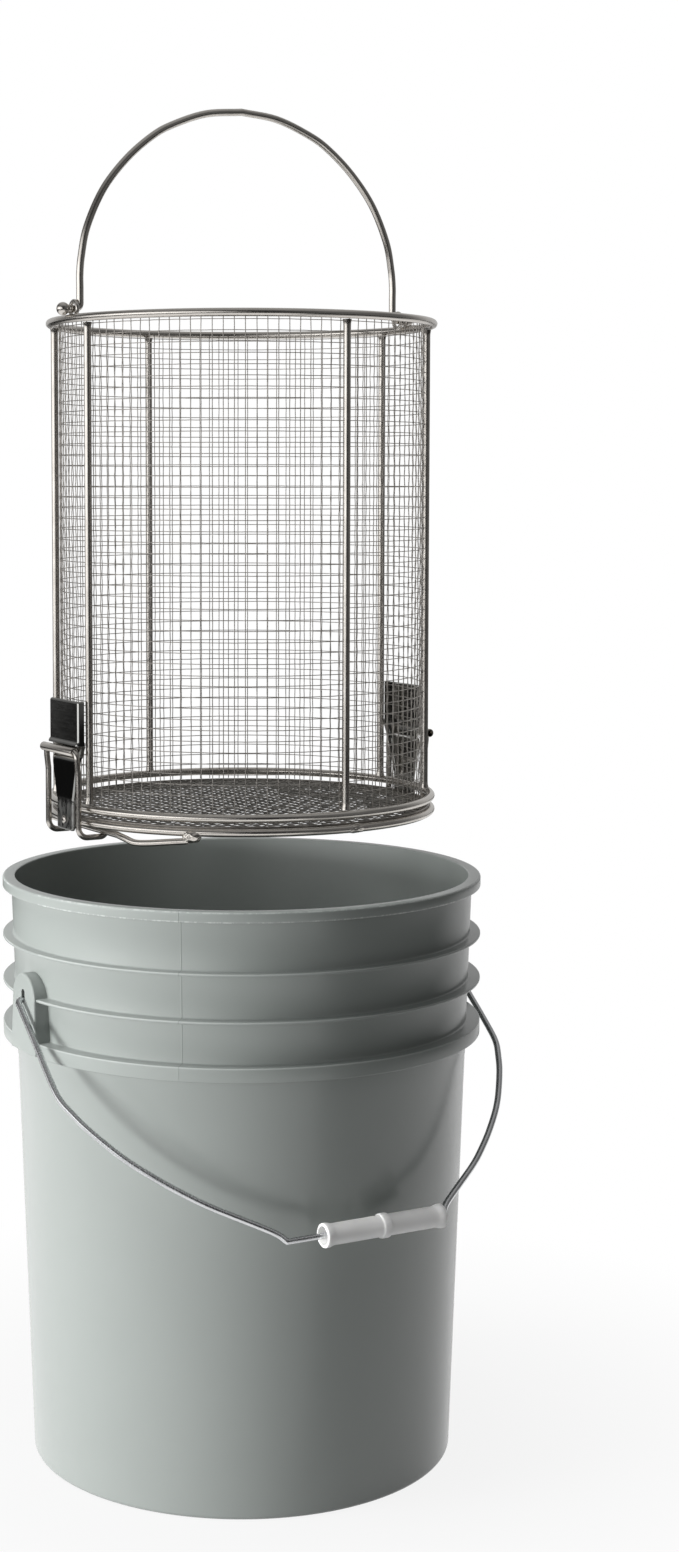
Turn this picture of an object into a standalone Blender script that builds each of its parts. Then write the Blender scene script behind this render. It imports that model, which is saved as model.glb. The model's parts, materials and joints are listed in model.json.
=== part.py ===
"""Five-gallon plastic pail with a lift-out, drop-bottom wire basket.

Metres, +Z up.  The pail stands on z = 0 with its axis on Z and its two ears on the X axis.
The basket hangs above the pail on the same axis, as it is when it is lifted out.
"""

import math

import bmesh
import bpy
from mathutils import Matrix, Vector

GAP = 0.0003  # between neighbouring pieces

# ---------------------------------------------------------------- sizes of the pail
PAIL_HEIGHT = 0.3690
PAIL_WALL = 0.0025
PAIL_FLOOR = 0.0030
WALL_TOP_RADIUS = 0.1462  # outside of the wall, level with the rim
WALL_BASE_RADIUS = 0.1335  # outside of the wall, level with the floor
BASE_CORNER = 0.0030
EDGE = 0.0005  # softening of the flanges' edges

FLANGE_WIDTH = 0.0053  # how far the rim, both ribs and the skirt stand out at the rim
FLANGE_WALL = 0.0022  # of the rim's lip and the skirt
RIM_THICKNESS = 0.0024
RIM_DROP = 0.0066
RIM_ROUND = 0.0016
RIB_DEPTHS = (0.0363, 0.0645)  # below the rim, to the top of each rib
RIB_THICKNESS = 0.0018
SKIRT_DEPTH = 0.0915
SKIRT_DROP = 0.0088

EAR_DEPTH = 0.0670  # below the rim, to the bail's pivot
EAR_PROUD = 0.0007  # the ear's flat face beyond the flanges
EAR_HALF_WIDTH = 0.0160
EAR_FLARE = 0.0015  # how much wider each side is at the bottom
EAR_SOFTENING = 0.0012
EAR_SLOT_RISE = 0.0039  # straight part of the upright slot
EAR_SLOT_BACK = 0.0008  # plastic left between the slot and the wall

BAIL_WIRE = 0.0020  # radius
BAIL_REACH = 0.1965  # pivot axis to the middle of the grip
BAIL_END_BEND = 0.0040
BAIL_GRIP_JOG = 0.0052  # along the bail, from the grip's seat to the kink beside it
GRIP_LENGTH = 0.0830
GRIP_CLEARANCE = 0.0016  # wire to the grip's bore
GRIP_WALL = 0.0028
GRIP_BEAD = 0.0010  # how far the middle ring stands out
GRIP_BEAD_HALF = 0.0034
GRIP_FLARE = 0.0009  # how far each end stands out
GRIP_FLARE_LENGTH = 0.0060
GRIP_SLACK = 0.0125  # the straight is longer than the grip by this at each end
GRIP_END_PLAY = 0.0012  # the grip has slid this close to one end of its straight
GRIP_REST_GAP = 0.0052  # between the hanging grip and the pail's wall

# ---------------------------------------------------------------- sizes of the basket
BASKET_CLEARANCE = 0.0113  # pail's inside at its base to the rings' centre line
BASKET_HEIGHT = 0.3035  # door ring centre to top ring centre
BASKET_LIFT = 0.0415  # pail rim to door ring centre, with the basket lifted out
RING_WIRE = 0.0025
RING_PITCH = 0.0084  # door ring centre to body ring centre
ROD_WIRE = 0.00225
ROD_INSET = 0.0004  # inside of the rings to the rods' centre lines
ROD_ANGLES = (9.0, 93.0, 155.0, 189.0, 273.0, 335.0)
MESH_THICKNESS = 0.0005
MESH_BAR = 0.0026  # width of a bar in the drum's grid, which is coarser than the real weave
MESH_ROWS = 12
MESH_COLUMNS = 24
MESH_FLOOR_INSET = 0.0007

EYE_WIRE = 0.0013
EYE_RADIUS = 0.0047
HOOP_WIRE = 0.00225
HOOP_REACH = 0.1250
HOOP_INSET = 0.0041  # eye to the upright stretch of the hoop
HOOP_BEND = 0.0040
HOOP_END_PLAY = 0.0009
HOOP_NECK = 0.0027
HOOP_NECK_LENGTH = 0.0018
HOOP_BALL = 0.0040

PLATE_THICKNESS = 0.0011
PLATE_TOP = 0.0735  # heights on the plate are from the door ring's centre
PLATE_FOOT = -0.0062
PLATE_WAIST = 0.0172  # half widths
PLATE_SHOULDER = 0.0033  # the upper panel is this much wider on each side
PLATE_FOOT_HALF_WIDTH = 0.0115
PLATE_FLANGE = 0.0042
PLATE_LIP = 0.0016
PLATE_RAISE = 0.0004
RIVET_RADIUS = 0.0026
RIVET_HEIGHT = 0.0013

PIN_WIRE = 0.0020
PIN_INSET = 0.0097  # door ring centre line to the hinge rod
PIN_BEND_SHARE = 0.96  # of the way across, where the rod bends along the ring
PIN_TAIL_ANGLE = 46.0
PIN_TAIL_SAG = 0.0030
PIN_TAIL_OUT = 0.0030
LOOP_WIRE = 0.0018
LOOP_SPACE = 0.0025  # plate's waist to the loop's legs
LOOP_LEG_INSET = 0.0010  # the legs lean in from the bar by this
LOOP_FOOT_BEND = 0.0060
LOOP_TOP_BEND = 0.0200
LOOP_WRAP = 210.0
NOTCH_EASE = 1.04
BAR_WALL = 0.0006
BAR_HEIGHT = 0.0428
BAR_SEAT = 0.0018  # plate's face to the bar's centre line
BAR_OVERHANG = 0.0047
BAR_SETBACK = 0.0035

ROUND = 72  # facets around the pail
RING_ROUND = 60  # facets around each basket ring
SMALL_ROUND = 16
GRIP_ROUND = 24
EYE_ROUND = 24
ROD_ROUND = 10
WIRE_RESOLUTION = 2  # eight facets around a wire
SHARP_ANGLE = math.radians(35)
WELD = 0.00001

# ---------------------------------------------------------------- places that follow
FLANGE_RADIUS = WALL_TOP_RADIUS + FLANGE_WIDTH
EAR_Z = PAIL_HEIGHT - EAR_DEPTH
EAR_FACE = FLANGE_RADIUS + EAR_PROUD
BAIL_HALF_SPAN = EAR_FACE + BAIL_END_BEND
GRIP_BORE = BAIL_WIRE + GRIP_CLEARANCE
GRIP_RADIUS = GRIP_BORE + GRIP_WALL
GRIP_SEAT = GRIP_LENGTH / 2 + GRIP_SLACK
GRIP_SHIFT = GRIP_SLACK - GRIP_END_PLAY

RING_RADIUS = WALL_BASE_RADIUS - PAIL_WALL - BASKET_CLEARANCE
DOOR_Z = PAIL_HEIGHT + BASKET_LIFT
FLOOR_Z = RING_WIRE + GAP
ROD_CIRCLE = RING_RADIUS - RING_WIRE - ROD_INSET
MESH_RADIUS = ROD_CIRCLE - ROD_WIRE - GAP
EYE_Z = BASKET_HEIGHT + EYE_RADIUS + EYE_WIRE
EYE_X = RING_RADIUS - RING_WIRE - GAP - EYE_WIRE
HOOP_HALF_SPAN = EYE_X - HOOP_INSET

PLATE_FACE = RING_RADIUS + RING_WIRE + GAP + PLATE_THICKNESS
PIN_RADIUS = RING_RADIUS - PIN_INSET
PIN_Z = -(RING_WIRE + GAP + PIN_WIRE)
LOOP_HALF_WIDTH = PLATE_WAIST + LOOP_SPACE + LOOP_WIRE
BAR_BORE = LOOP_WIRE + GAP
BAR_RADIUS = BAR_BORE + BAR_WALL
BAR_CENTRE = PLATE_FACE + BAR_SEAT


def wall_radius(z):
    """Outside radius of the pail's wall at a height above the floor."""
    return WALL_BASE_RADIUS + (WALL_TOP_RADIUS - WALL_BASE_RADIUS) * z / PAIL_HEIGHT


def bail_rest_angle():
    """How far below level the bail hangs, with its grip just off the wall."""
    angle = math.radians(45)
    for _ in range(40):
        wall = wall_radius(EAR_Z - BAIL_REACH * math.sin(angle))
        out = wall + GRIP_REST_GAP + GRIP_RADIUS + GRIP_BEAD
        angle = math.acos(out / BAIL_REACH)
    return angle


# ---------------------------------------------------------------- helpers
def clear_scene():
    for item in list(bpy.data.objects):
        bpy.data.objects.remove(item, do_unlink=True)


def new_collection(name):
    collection = bpy.data.collections.new(name)
    bpy.context.scene.collection.children.link(collection)
    return collection


def material(name, look):
    colour, roughness, metallic = look
    made = bpy.data.materials.new(name)
    made.use_nodes = True
    shader = made.node_tree.nodes["Principled BSDF"]
    shader.inputs["Base Color"].default_value = (*colour, 1.0)
    shader.inputs["Roughness"].default_value = roughness
    shader.inputs["Metallic"].default_value = metallic
    made.diffuse_color = (*colour, 1.0)
    return made


def empty(name, location, parent=None):
    made = bpy.data.objects.new(name, None)
    made.empty_display_size = 0.02
    made.location = location
    made.parent = parent
    PARTS.objects.link(made)
    return made


def piece(name, data, look, parent=None, location=(0, 0, 0), rotation=(0, 0, 0)):
    """One named object of the part, with a material of its own."""
    made = bpy.data.objects.new(name, data)
    made.location = location
    made.rotation_euler = rotation
    made.parent = parent
    data.materials.append(material(name + "_material", look))
    PARTS.objects.link(made)
    return made


def cutter(name, data, parent=None, location=(0, 0, 0), rotation=(0, 0, 0)):
    """A solid that only shapes another piece."""
    made = bpy.data.objects.new(name, data)
    made.location = location
    made.rotation_euler = rotation
    made.parent = parent
    made.hide_render = True
    made.display_type = "WIRE"
    CUTTERS.objects.link(made)
    return made


def combine(target, tool, operation):
    modifier = target.modifiers.new(tool.name, "BOOLEAN")
    modifier.object = tool
    modifier.operation = operation
    modifier.solver = "EXACT"


def turn(item, steps):
    """Turn an item's profile about its own Z axis."""
    screw = item.modifiers.new("turn", "SCREW")
    screw.steps = steps
    screw.render_steps = steps
    screw.use_merge_vertices = True
    screw.merge_threshold = WELD


def profile_mesh(name, points, closed=False):
    """(radius, height) points, listed down the outer side, joined by edges only."""
    mesh = bpy.data.meshes.new(name)
    edges = [(k, k + 1) for k in range(len(points) - 1)]
    if closed:
        edges.append((len(points) - 1, 0))
    mesh.from_pydata([(radius, 0, z) for radius, z in points], edges, [])
    return mesh


def cylinder_mesh(name, radius, low, high, segments):
    bm = bmesh.new()
    bmesh.ops.create_cone(
        bm,
        cap_ends=True,
        segments=segments,
        radius1=radius,
        radius2=radius,
        depth=high - low,
        matrix=Matrix.Translation((0, 0, (low + high) / 2)),
    )
    mesh = bpy.data.meshes.new(name)
    bm.to_mesh(mesh)
    bm.free()
    return mesh


def loft_mesh(name, sections):
    """Closed cross-sections of the same number of points, joined and capped."""
    bm = bmesh.new()
    rings = [[bm.verts.new(point) for point in section] for section in sections]
    for low, high in zip(rings, rings[1:]):
        for k in range(len(low)):
            n = (k + 1) % len(low)
            bm.faces.new((low[k], low[n], high[n], high[k]))
    bm.faces.new(rings[0][::-1])
    bm.faces.new(rings[-1])
    bmesh.ops.recalc_face_normals(bm, faces=bm.faces)
    mesh = bpy.data.meshes.new(name)
    bm.to_mesh(mesh)
    bm.free()
    return mesh


def wire_curve(name, points, radius):
    """A round wire through points, with both ends filled."""
    curve = bpy.data.curves.new(name, "CURVE")
    curve.dimensions = "3D"
    curve.bevel_depth = radius
    curve.bevel_resolution = WIRE_RESOLUTION
    curve.use_fill_caps = True
    path = curve.splines.new("POLY")
    path.points.add(len(points) - 1)
    for control, point in zip(path.points, points):
        control.co = (*point, 1)
    return curve


def ring(name, radius, wire, segments, look, parent, location, rotation=(0, 0, 0)):
    """A closed ring of round wire."""
    bpy.ops.mesh.primitive_torus_add(
        major_segments=segments,
        minor_segments=8,
        major_radius=radius,
        minor_radius=wire,
    )
    torus = bpy.context.object
    mesh = torus.data
    mesh.name = name
    bpy.data.objects.remove(torus, do_unlink=True)
    return piece(name, mesh, look, parent, location, rotation)


def applied_mesh(item):
    """An item's shape as the modifiers leave it, with its caps welded on."""
    bpy.context.view_layer.update()
    graph = bpy.context.evaluated_depsgraph_get()
    mesh = bpy.data.meshes.new_from_object(item.evaluated_get(graph))
    bm = bmesh.new()
    bm.from_mesh(mesh)
    bmesh.ops.remove_doubles(bm, verts=bm.verts, dist=WELD)
    bm.to_mesh(mesh)
    bm.free()
    return mesh


def finish_pieces():
    """Apply the modifiers, then shade every mesh smooth up to its sharp edges."""
    for item in [item for item in PARTS.objects if item.type == "MESH"]:
        if item.modifiers:
            mesh = applied_mesh(item)
            item.modifiers.clear()
            item.data = mesh
        item.data.shade_smooth()
        item.data.set_sharp_from_angle(angle=SHARP_ANGLE)


def arc(centre, radius, first, last, steps):
    """(x, y) points on an arc, angles in degrees."""
    out = []
    for k in range(steps + 1):
        a = math.radians(first + (last - first) * k / steps)
        out.append((centre[0] + radius * math.cos(a), centre[1] + radius * math.sin(a)))
    return out


def rounded(points, bends, steps=4):
    """A polyline whose inner corners are rounded; bends holds one radius per inner corner."""
    points = [Vector(p) for p in points]
    out = [points[0]]
    for before, corner, after, bend in zip(points, points[1:], points[2:], bends):
        a = (before - corner).normalized()
        b = (after - corner).normalized()
        half = a.angle(b) / 2
        centre = corner + (a + b).normalized() * (bend / math.sin(half))
        start = corner + a * (bend / math.tan(half)) - centre
        end = corner + b * (bend / math.tan(half)) - centre
        axis, whole = start.rotation_difference(end).to_axis_angle()
        for k in range(steps + 1):
            out.append(centre + Matrix.Rotation(whole * k / steps, 3, axis) @ start)
    out.append(points[-1])
    return out


def smooth_path(points, steps=2):
    """A smooth curve through points (Catmull-Rom)."""
    points = [Vector(p) for p in points]
    padded = [points[0] * 2 - points[1]] + points + [points[-1] * 2 - points[-2]]
    out = []
    for a, b, c, d in zip(padded, padded[1:], padded[2:], padded[3:]):
        for k in range(steps):
            t = k / steps
            square = (2 * a - 5 * b + 4 * c - d) * t**2
            cube = (3 * b - a - 3 * c + d) * t**3
            out.append((2 * b + (c - a) * t + square + cube) / 2)
    out.append(points[-1])
    return out


# ---------------------------------------------------------------- the pail
def rib_profile(depth):
    """One solid rib, down its outer side."""
    top = PAIL_HEIGHT - depth
    low = top - RIB_THICKNESS
    return [
        (wall_radius(top), top),
        (FLANGE_RADIUS - EDGE, top),
        (FLANGE_RADIUS, top - EDGE),
        (FLANGE_RADIUS, low + EDGE),
        (FLANGE_RADIUS - EDGE, low),
        (wall_radius(low), low),
    ]


def skirt_profile():
    """The lowest flange: a web that turns down into a skirt, open below."""
    top = PAIL_HEIGHT - SKIRT_DEPTH
    low = top - SKIRT_DROP
    inside = FLANGE_RADIUS - FLANGE_WALL
    return [
        (wall_radius(top), top),
        (FLANGE_RADIUS - EDGE, top),
        (FLANGE_RADIUS, top - EDGE),
        (FLANGE_RADIUS, low + EDGE),
        (FLANGE_RADIUS - EDGE, low),
        (inside, low),
        (inside, top - FLANGE_WALL),
        (wall_radius(top - FLANGE_WALL), top - FLANGE_WALL),
    ]


def rim_profile():
    """From the inner edge of the rim over its top and down its lip."""
    inner = WALL_TOP_RADIUS - PAIL_WALL
    under = PAIL_HEIGHT - RIM_THICKNESS
    low = PAIL_HEIGHT - RIM_DROP
    return [
        (inner, PAIL_HEIGHT - RIM_ROUND),
        (inner + RIM_ROUND - EDGE, PAIL_HEIGHT),
        (FLANGE_RADIUS - RIM_ROUND, PAIL_HEIGHT),
        (FLANGE_RADIUS - EDGE, PAIL_HEIGHT - EDGE),
        (FLANGE_RADIUS, PAIL_HEIGHT - RIM_ROUND),
        (FLANGE_RADIUS, low + EDGE),
        (FLANGE_RADIUS - EDGE, low),
        (FLANGE_RADIUS - FLANGE_WALL, low),
        (FLANGE_RADIUS - FLANGE_WALL, under),
        (wall_radius(under), under),
    ]


def pail_profile():
    """From the middle of the floor up the inside, over the rim and down to the base."""
    corner = BASE_CORNER
    inner = wall_radius(PAIL_FLOOR + corner) - PAIL_WALL - corner
    foot = wall_radius(corner) - corner
    out = [(0.0, PAIL_FLOOR)]
    out += arc((inner, PAIL_FLOOR + corner), corner, -90, 0, 4)
    out += rim_profile()
    for depth in sorted(RIB_DEPTHS):
        out += rib_profile(depth)
    out += skirt_profile()
    out += arc((foot, corner), corner, 0, -90, 4)
    out.append((0.0, 0.0))
    return out


def ear_boss_mesh(sign):
    """The moulded ear: an arch around the pivot that runs down into the skirt."""
    low = PAIL_HEIGHT - SKIRT_DEPTH - SKIRT_DROP + 2 * EDGE
    wide = EAR_HALF_WIDTH + EAR_FLARE
    arch = arc((0, EAR_Z), EAR_HALF_WIDTH, 0, 180, 16)
    outline = [(wide, low)] + arch + [(-wide, low)]
    middle = (EAR_Z + low) / 2
    back, edge, face = [], [], []
    for y, z in outline:
        inward = Vector((-y, middle - z if z > EAR_Z else 0.0)).normalized()
        shift = inward * (EAR_SOFTENING if z > low else 0.0)
        back.append((sign * (wall_radius(z) - PAIL_WALL / 2), y, z))
        edge.append((sign * (EAR_FACE - EAR_SOFTENING), y, z))
        face.append((sign * EAR_FACE, y + shift.x, z + shift.y))
    return loft_mesh("ear_boss", [back, edge, face])


def ear_slot_mesh(sign):
    """The upright slot that the bail's end turns in."""
    half = BAIL_WIRE + GAP
    outline = arc((0, EAR_Z + EAR_SLOT_RISE), half, 0, 180, 8)
    outline += arc((0, EAR_Z), half, 180, 360, 8)
    back = wall_radius(EAR_Z) + EAR_SLOT_BACK
    ends = (back, EAR_FACE + EAR_SOFTENING)
    sections = [[(sign * x, y, z) for y, z in outline] for x in ends]
    return loft_mesh("ear_slot", sections)


def build_pail():
    look = ((0.27, 0.31, 0.29), 0.42, 0.0)
    pail = piece("bucket", profile_mesh("bucket", pail_profile()), look)
    turn(pail, ROUND)
    for sign, side in ((-1, "front"), (1, "back")):
        combine(pail, cutter("ear_boss_" + side, ear_boss_mesh(sign)), "UNION")
        combine(pail, cutter("ear_slot_" + side, ear_slot_mesh(sign)), "DIFFERENCE")


def bail_side():
    """One side of the bail as (x, reach), from above its end in the ear to the grip."""
    span, reach = BAIL_HALF_SPAN, BAIL_REACH
    return [
        (span * 1.000, reach * 0.200),
        (span * 1.002, reach * 0.290),
        (span * 0.998, reach * 0.386),
        (span * 0.970, reach * 0.452),
        (span * 0.928, reach * 0.522),
        (span * 0.844, reach * 0.630),
        (span * 0.748, reach * 0.721),
        (span * 0.659, reach * 0.792),
        (span * 0.584, reach * 0.844),
        (span * 0.471, reach * 0.910),
        (GRIP_SEAT + BAIL_GRIP_JOG, reach * 0.965),
        (GRIP_SEAT, reach),
    ]


def grip_profile():
    """The tube grip, down its outside and back up its bore."""
    half = GRIP_LENGTH / 2
    wide = GRIP_RADIUS + GRIP_FLARE
    flare = half - GRIP_FLARE_LENGTH
    bead = GRIP_RADIUS + GRIP_BEAD
    step = GRIP_BEAD_HALF + GRIP_FLARE
    upper = [
        (GRIP_BORE, half),
        (wide - EDGE, half),
        (wide, half - EDGE),
        (wide, half - GRIP_FLARE_LENGTH / 2),
        (GRIP_RADIUS, flare),
        (GRIP_RADIUS, step),
        (bead, GRIP_BEAD_HALF),
    ]
    return upper + [(radius, -z) for radius, z in reversed(upper)]


def build_bail():
    """The wire bail and its grip; the bail's pivot is on the line through both ears."""
    rest = bail_rest_angle()
    outward = Vector((0, -math.cos(rest), -math.sin(rest)))
    pivot = empty("bucket_bail_pivot", (0, 0, EAR_Z))
    end = wall_radius(EAR_Z) + EAR_SLOT_BACK + GAP
    side = smooth_path([(x, reach, 0) for x, reach in bail_side()])
    corner = [(end, 0, 0), (BAIL_HALF_SPAN, 0, 0), side[0]]
    half = rounded(corner, [BAIL_END_BEND])[:-1] + side
    whole = [(-x, reach) for x, reach, _ in half]
    whole += [(x, reach) for x, reach, _ in reversed(half)]
    points = [Vector((x, 0, 0)) + outward * reach for x, reach in whole]
    steel = ((0.62, 0.62, 0.61), 0.28, 1.0)
    piece("bucket_bail", wire_curve("bucket_bail", points, BAIL_WIRE), steel, pivot)

    seat = empty("bail_grip_pivot", outward * BAIL_REACH, pivot)
    shape = profile_mesh("bail_grip", grip_profile(), closed=True)
    look = ((0.86, 0.86, 0.84), 0.45, 0.0)
    along_x = (0, math.pi / 2, 0)
    grip = piece("bail_grip", shape, look, seat, (GRIP_SHIFT, 0, 0), along_x)
    turn(grip, GRIP_ROUND)


# ---------------------------------------------------------------- the basket
STEEL = ((0.58, 0.56, 0.53), 0.30, 1.0)
MESH_STEEL = ((0.60, 0.58, 0.55), 0.38, 1.0)
PLATE_STEEL = ((0.42, 0.42, 0.41), 0.32, 1.0)
SIDES = (("front", -1), ("back", 1))  # the second side is the first, a half turn on


def half_turn(sign):
    """Turns a piece made for the +X side to the side it belongs on."""
    return (0, 0, 0 if sign > 0 else math.pi)


def openwork_mesh(name, low, high):
    """A round wall with a plain grid of openings, coarser than the woven mesh it stands for."""
    bm = bmesh.new()
    rise = (high - low) / MESH_ROWS
    rings = []
    for row in range(MESH_ROWS + 1):
        place = Matrix.Translation((0, 0, low + row * rise))
        made = bmesh.ops.create_circle(
            bm, segments=MESH_COLUMNS, radius=MESH_RADIUS, matrix=place
        )
        rings.append({edge for vert in made["verts"] for edge in vert.link_edges})
    for below, above in zip(rings, rings[1:]):
        bmesh.ops.bridge_loops(bm, edges=list(below | above))
    bmesh.ops.recalc_face_normals(bm, faces=bm.faces)
    cells = list(bm.faces)
    bmesh.ops.inset_individual(bm, faces=cells, thickness=MESH_BAR / 2, use_even_offset=True)
    bmesh.ops.delete(bm, geom=cells, context="FACES")
    mesh = bpy.data.meshes.new(name)
    bm.to_mesh(mesh)
    bm.free()
    return mesh


def build_frame(basket):
    """Rings, upright rods and the mesh drum, all welded together."""
    for name, z in (("top_ring", BASKET_HEIGHT), ("body_ring", RING_PITCH)):
        ring(name, RING_RADIUS, RING_WIRE, RING_ROUND, STEEL, basket, (0, 0, z))

    overlap = RING_RADIUS - ROD_CIRCLE - ROD_WIRE
    clear = math.sqrt(RING_WIRE**2 - overlap**2) + GAP
    low, high = RING_PITCH + clear, BASKET_HEIGHT - clear
    for number, angle in enumerate(ROD_ANGLES, 1):
        name = f"upright_rod_{number}"
        a = math.radians(angle)
        foot = (ROD_CIRCLE * math.cos(a), ROD_CIRCLE * math.sin(a), 0)
        piece(name, cylinder_mesh(name, ROD_WIRE, low, high, ROD_ROUND), STEEL, basket, foot)

    low = FLOOR_Z + MESH_THICKNESS + GAP
    high = BASKET_HEIGHT - 2 * GAP
    drum = piece("drum_mesh", openwork_mesh("drum_mesh", low, high), MESH_STEEL, basket)
    sheet = drum.modifiers.new("sheet", "SOLIDIFY")
    sheet.thickness = MESH_THICKNESS
    sheet.use_even_offset = True


def hoop_side():
    """One side of the hoop as (x, height), from above its eye to the top."""
    span, reach = HOOP_HALF_SPAN, HOOP_REACH
    return [
        (span * 1.000, reach * 0.120),
        (span * 1.002, reach * 0.220),
        (span * 0.955, reach * 0.390),
        (span * 0.850, reach * 0.580),
        (span * 0.718, reach * 0.732),
        (span * 0.562, reach * 0.849),
        (span * 0.430, reach * 0.914),
        (span * 0.225, reach * 0.978),
        (0.0, reach),
    ]


def ball_profile(neck_end):
    """The neck and ball that keep the hoop in its eye, from the ball's tip to the neck."""
    opening = math.degrees(math.asin(HOOP_NECK / HOOP_BALL))
    centre = neck_end + HOOP_NECK_LENGTH + math.sqrt(HOOP_BALL**2 - HOOP_NECK**2)
    ball = arc((0, centre), HOOP_BALL, 90, opening - 90, 8)
    tip = [(0.0, centre + HOOP_BALL)]
    return tip + ball[1:] + [(HOOP_NECK, neck_end), (0.0, neck_end)]


def build_hoop(basket):
    """The basket's own bail, its two eyes and the balls that keep it in them."""
    pivot = empty("basket_bail_pivot", (0, 0, EYE_Z), basket)
    end = EYE_X + EYE_WIRE + HOOP_END_PLAY
    side = smooth_path([(x, 0, z) for x, z in hoop_side()])
    corner = [(end, 0, 0), (HOOP_HALF_SPAN, 0, 0), side[0]]
    half = rounded(corner, [HOOP_BEND])[:-1] + side
    points = [(-x, 0, z) for x, _, z in half[:-1]]
    points += [(x, 0, z) for x, _, z in reversed(half)]
    piece("basket_bail", wire_curve("basket_bail", points, HOOP_WIRE), STEEL, pivot)

    for side_name, sign in SIDES:
        name = "bail_ball_" + side_name
        outward = (0, sign * math.pi / 2, 0)
        shape = profile_mesh(name, ball_profile(end + GAP))
        turn(piece(name, shape, STEEL, pivot, rotation=outward), SMALL_ROUND)
        name = "bail_eye_" + side_name
        at = (sign * EYE_X, 0, EYE_Z)
        ring(name, EYE_RADIUS, EYE_WIRE, EYE_ROUND, STEEL, basket, at, outward)


def plate_section(z, face, half, flange):
    """One level of the catch plate: a shallow channel that opens towards the basket."""
    t = PLATE_THICKNESS
    return [
        (face, -half, z),
        (face, half, z),
        (face - flange, half, z),
        (face - flange, half - t, z),
        (face - t, half - t, z),
        (face - t, -half + t, z),
        (face - flange, -half + t, z),
        (face - flange, -half, z),
    ]


def plate_levels():
    """(height, outer face, half width, flange) from the foot of the plate to its top."""
    face = PLATE_FACE
    raised = face + PLATE_RAISE
    lip = face + PLATE_LIP
    seat = BAR_CENTRE - BAR_RADIUS - GAP
    low, high = BAR_HEIGHT - BAR_RADIUS, BAR_HEIGHT + BAR_RADIUS
    neck = RING_PITCH + RING_WIRE
    stub = PLATE_THICKNESS + GAP
    foot, waist = PLATE_FOOT_HALF_WIDTH, PLATE_WAIST
    full = waist + PLATE_SHOULDER
    tuck = PLATE_FLANGE
    return [
        (PLATE_FOOT, face, foot - 3 * EDGE, stub),
        (PLATE_FOOT + 3 * EDGE, face, foot, stub),
        (neck + 2 * EDGE, face, foot, stub),
        (neck + 6 * EDGE, face + GAP, foot + EDGE, stub + GAP),
        (low - 12 * EDGE, face + GAP, waist, tuck * 0.7),
        (low - 6 * EDGE, face + GAP, waist, tuck * 0.8),
        (low - 2 * EDGE, seat + GAP, waist, tuck * 0.8),
        (low, seat, waist, tuck * 0.8),
        (high - 2 * EDGE, seat, full - 2 * EDGE, tuck * 0.8),
        (high + EDGE, seat + GAP, full, tuck * 0.9),
        (high + 2 * EDGE, lip, full, tuck + PLATE_LIP),
        (high + 4 * EDGE, lip, full, tuck + PLATE_LIP),
        (high + 7 * EDGE, raised, full, tuck),
        (PLATE_TOP - 2 * EDGE, raised, full, tuck),
        (PLATE_TOP, raised, full - 2 * EDGE, tuck - EDGE),
    ]


def build_catches(basket):
    """A catch plate and the rivet head on its foot, on each side."""
    head = arc((0, 0), 1.0, 90, 0, 4)
    head = [(0.0, 1.0)] + head[1:] + [(0.0, 0.0)]
    head = [(radius * RIVET_RADIUS, z * RIVET_HEIGHT) for radius, z in head]
    for side, sign in SIDES:
        name = "catch_plate_" + side
        shape = loft_mesh(name, [plate_section(*level) for level in plate_levels()])
        piece(name, shape, PLATE_STEEL, basket, rotation=half_turn(sign))
        name = "plate_rivet_" + side
        at = (sign * (PLATE_FACE + GAP), 0, 0)
        outward = (0, sign * math.pi / 2, 0)
        rivet = piece(name, profile_mesh(name, head), STEEL, basket, at, outward)
        turn(rivet, SMALL_ROUND)


def hinge_rod_path():
    """Across under the door ring as a chord, then on below the ring as a tail."""
    cross = math.acos(PIN_RADIUS / RING_RADIUS)
    last = math.radians(PIN_TAIL_ANGLE)
    reach = RING_RADIUS * math.sin(cross)
    tail = [(PIN_RADIUS, reach * PIN_BEND_SHARE, PIN_Z)]
    for share, out, sag in (
        (0.14, 0.6, 0.45),
        (0.30, 1.0, 1.0),
        (0.50, 1.0, 0.85),
        (0.75, 0.7, 0.45),
        (1.00, 0.4, 0.10),
    ):
        a = cross + (last - cross) * share
        r = RING_RADIUS + PIN_TAIL_OUT * out
        tail.append((r * math.cos(a), r * math.sin(a), PIN_Z - PIN_TAIL_SAG * sag))
    return [(PIN_RADIUS, -reach, PIN_Z), (PIN_RADIUS, 0, PIN_Z)] + smooth_path(tail)


def build_door(basket):
    """The bottom that drops out: ring, mesh floor and the two latch hinge rods under it."""
    door = empty("bottom_door_origin", (0, 0, 0), basket)
    ring("door_ring", RING_RADIUS, RING_WIRE, RING_ROUND, STEEL, door, (0, 0, 0))
    top = FLOOR_Z + MESH_THICKNESS
    radius = RING_RADIUS - MESH_FLOOR_INSET
    floor = cylinder_mesh("door_mesh", radius, FLOOR_Z, top, RING_ROUND)
    piece("door_mesh", floor, MESH_STEEL, door)
    for side, sign in SIDES:
        name = "hinge_rod_" + side
        shape = wire_curve(name, hinge_rod_path(), PIN_WIRE)
        piece(name, shape, STEEL, door, rotation=half_turn(sign))
    return door


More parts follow.
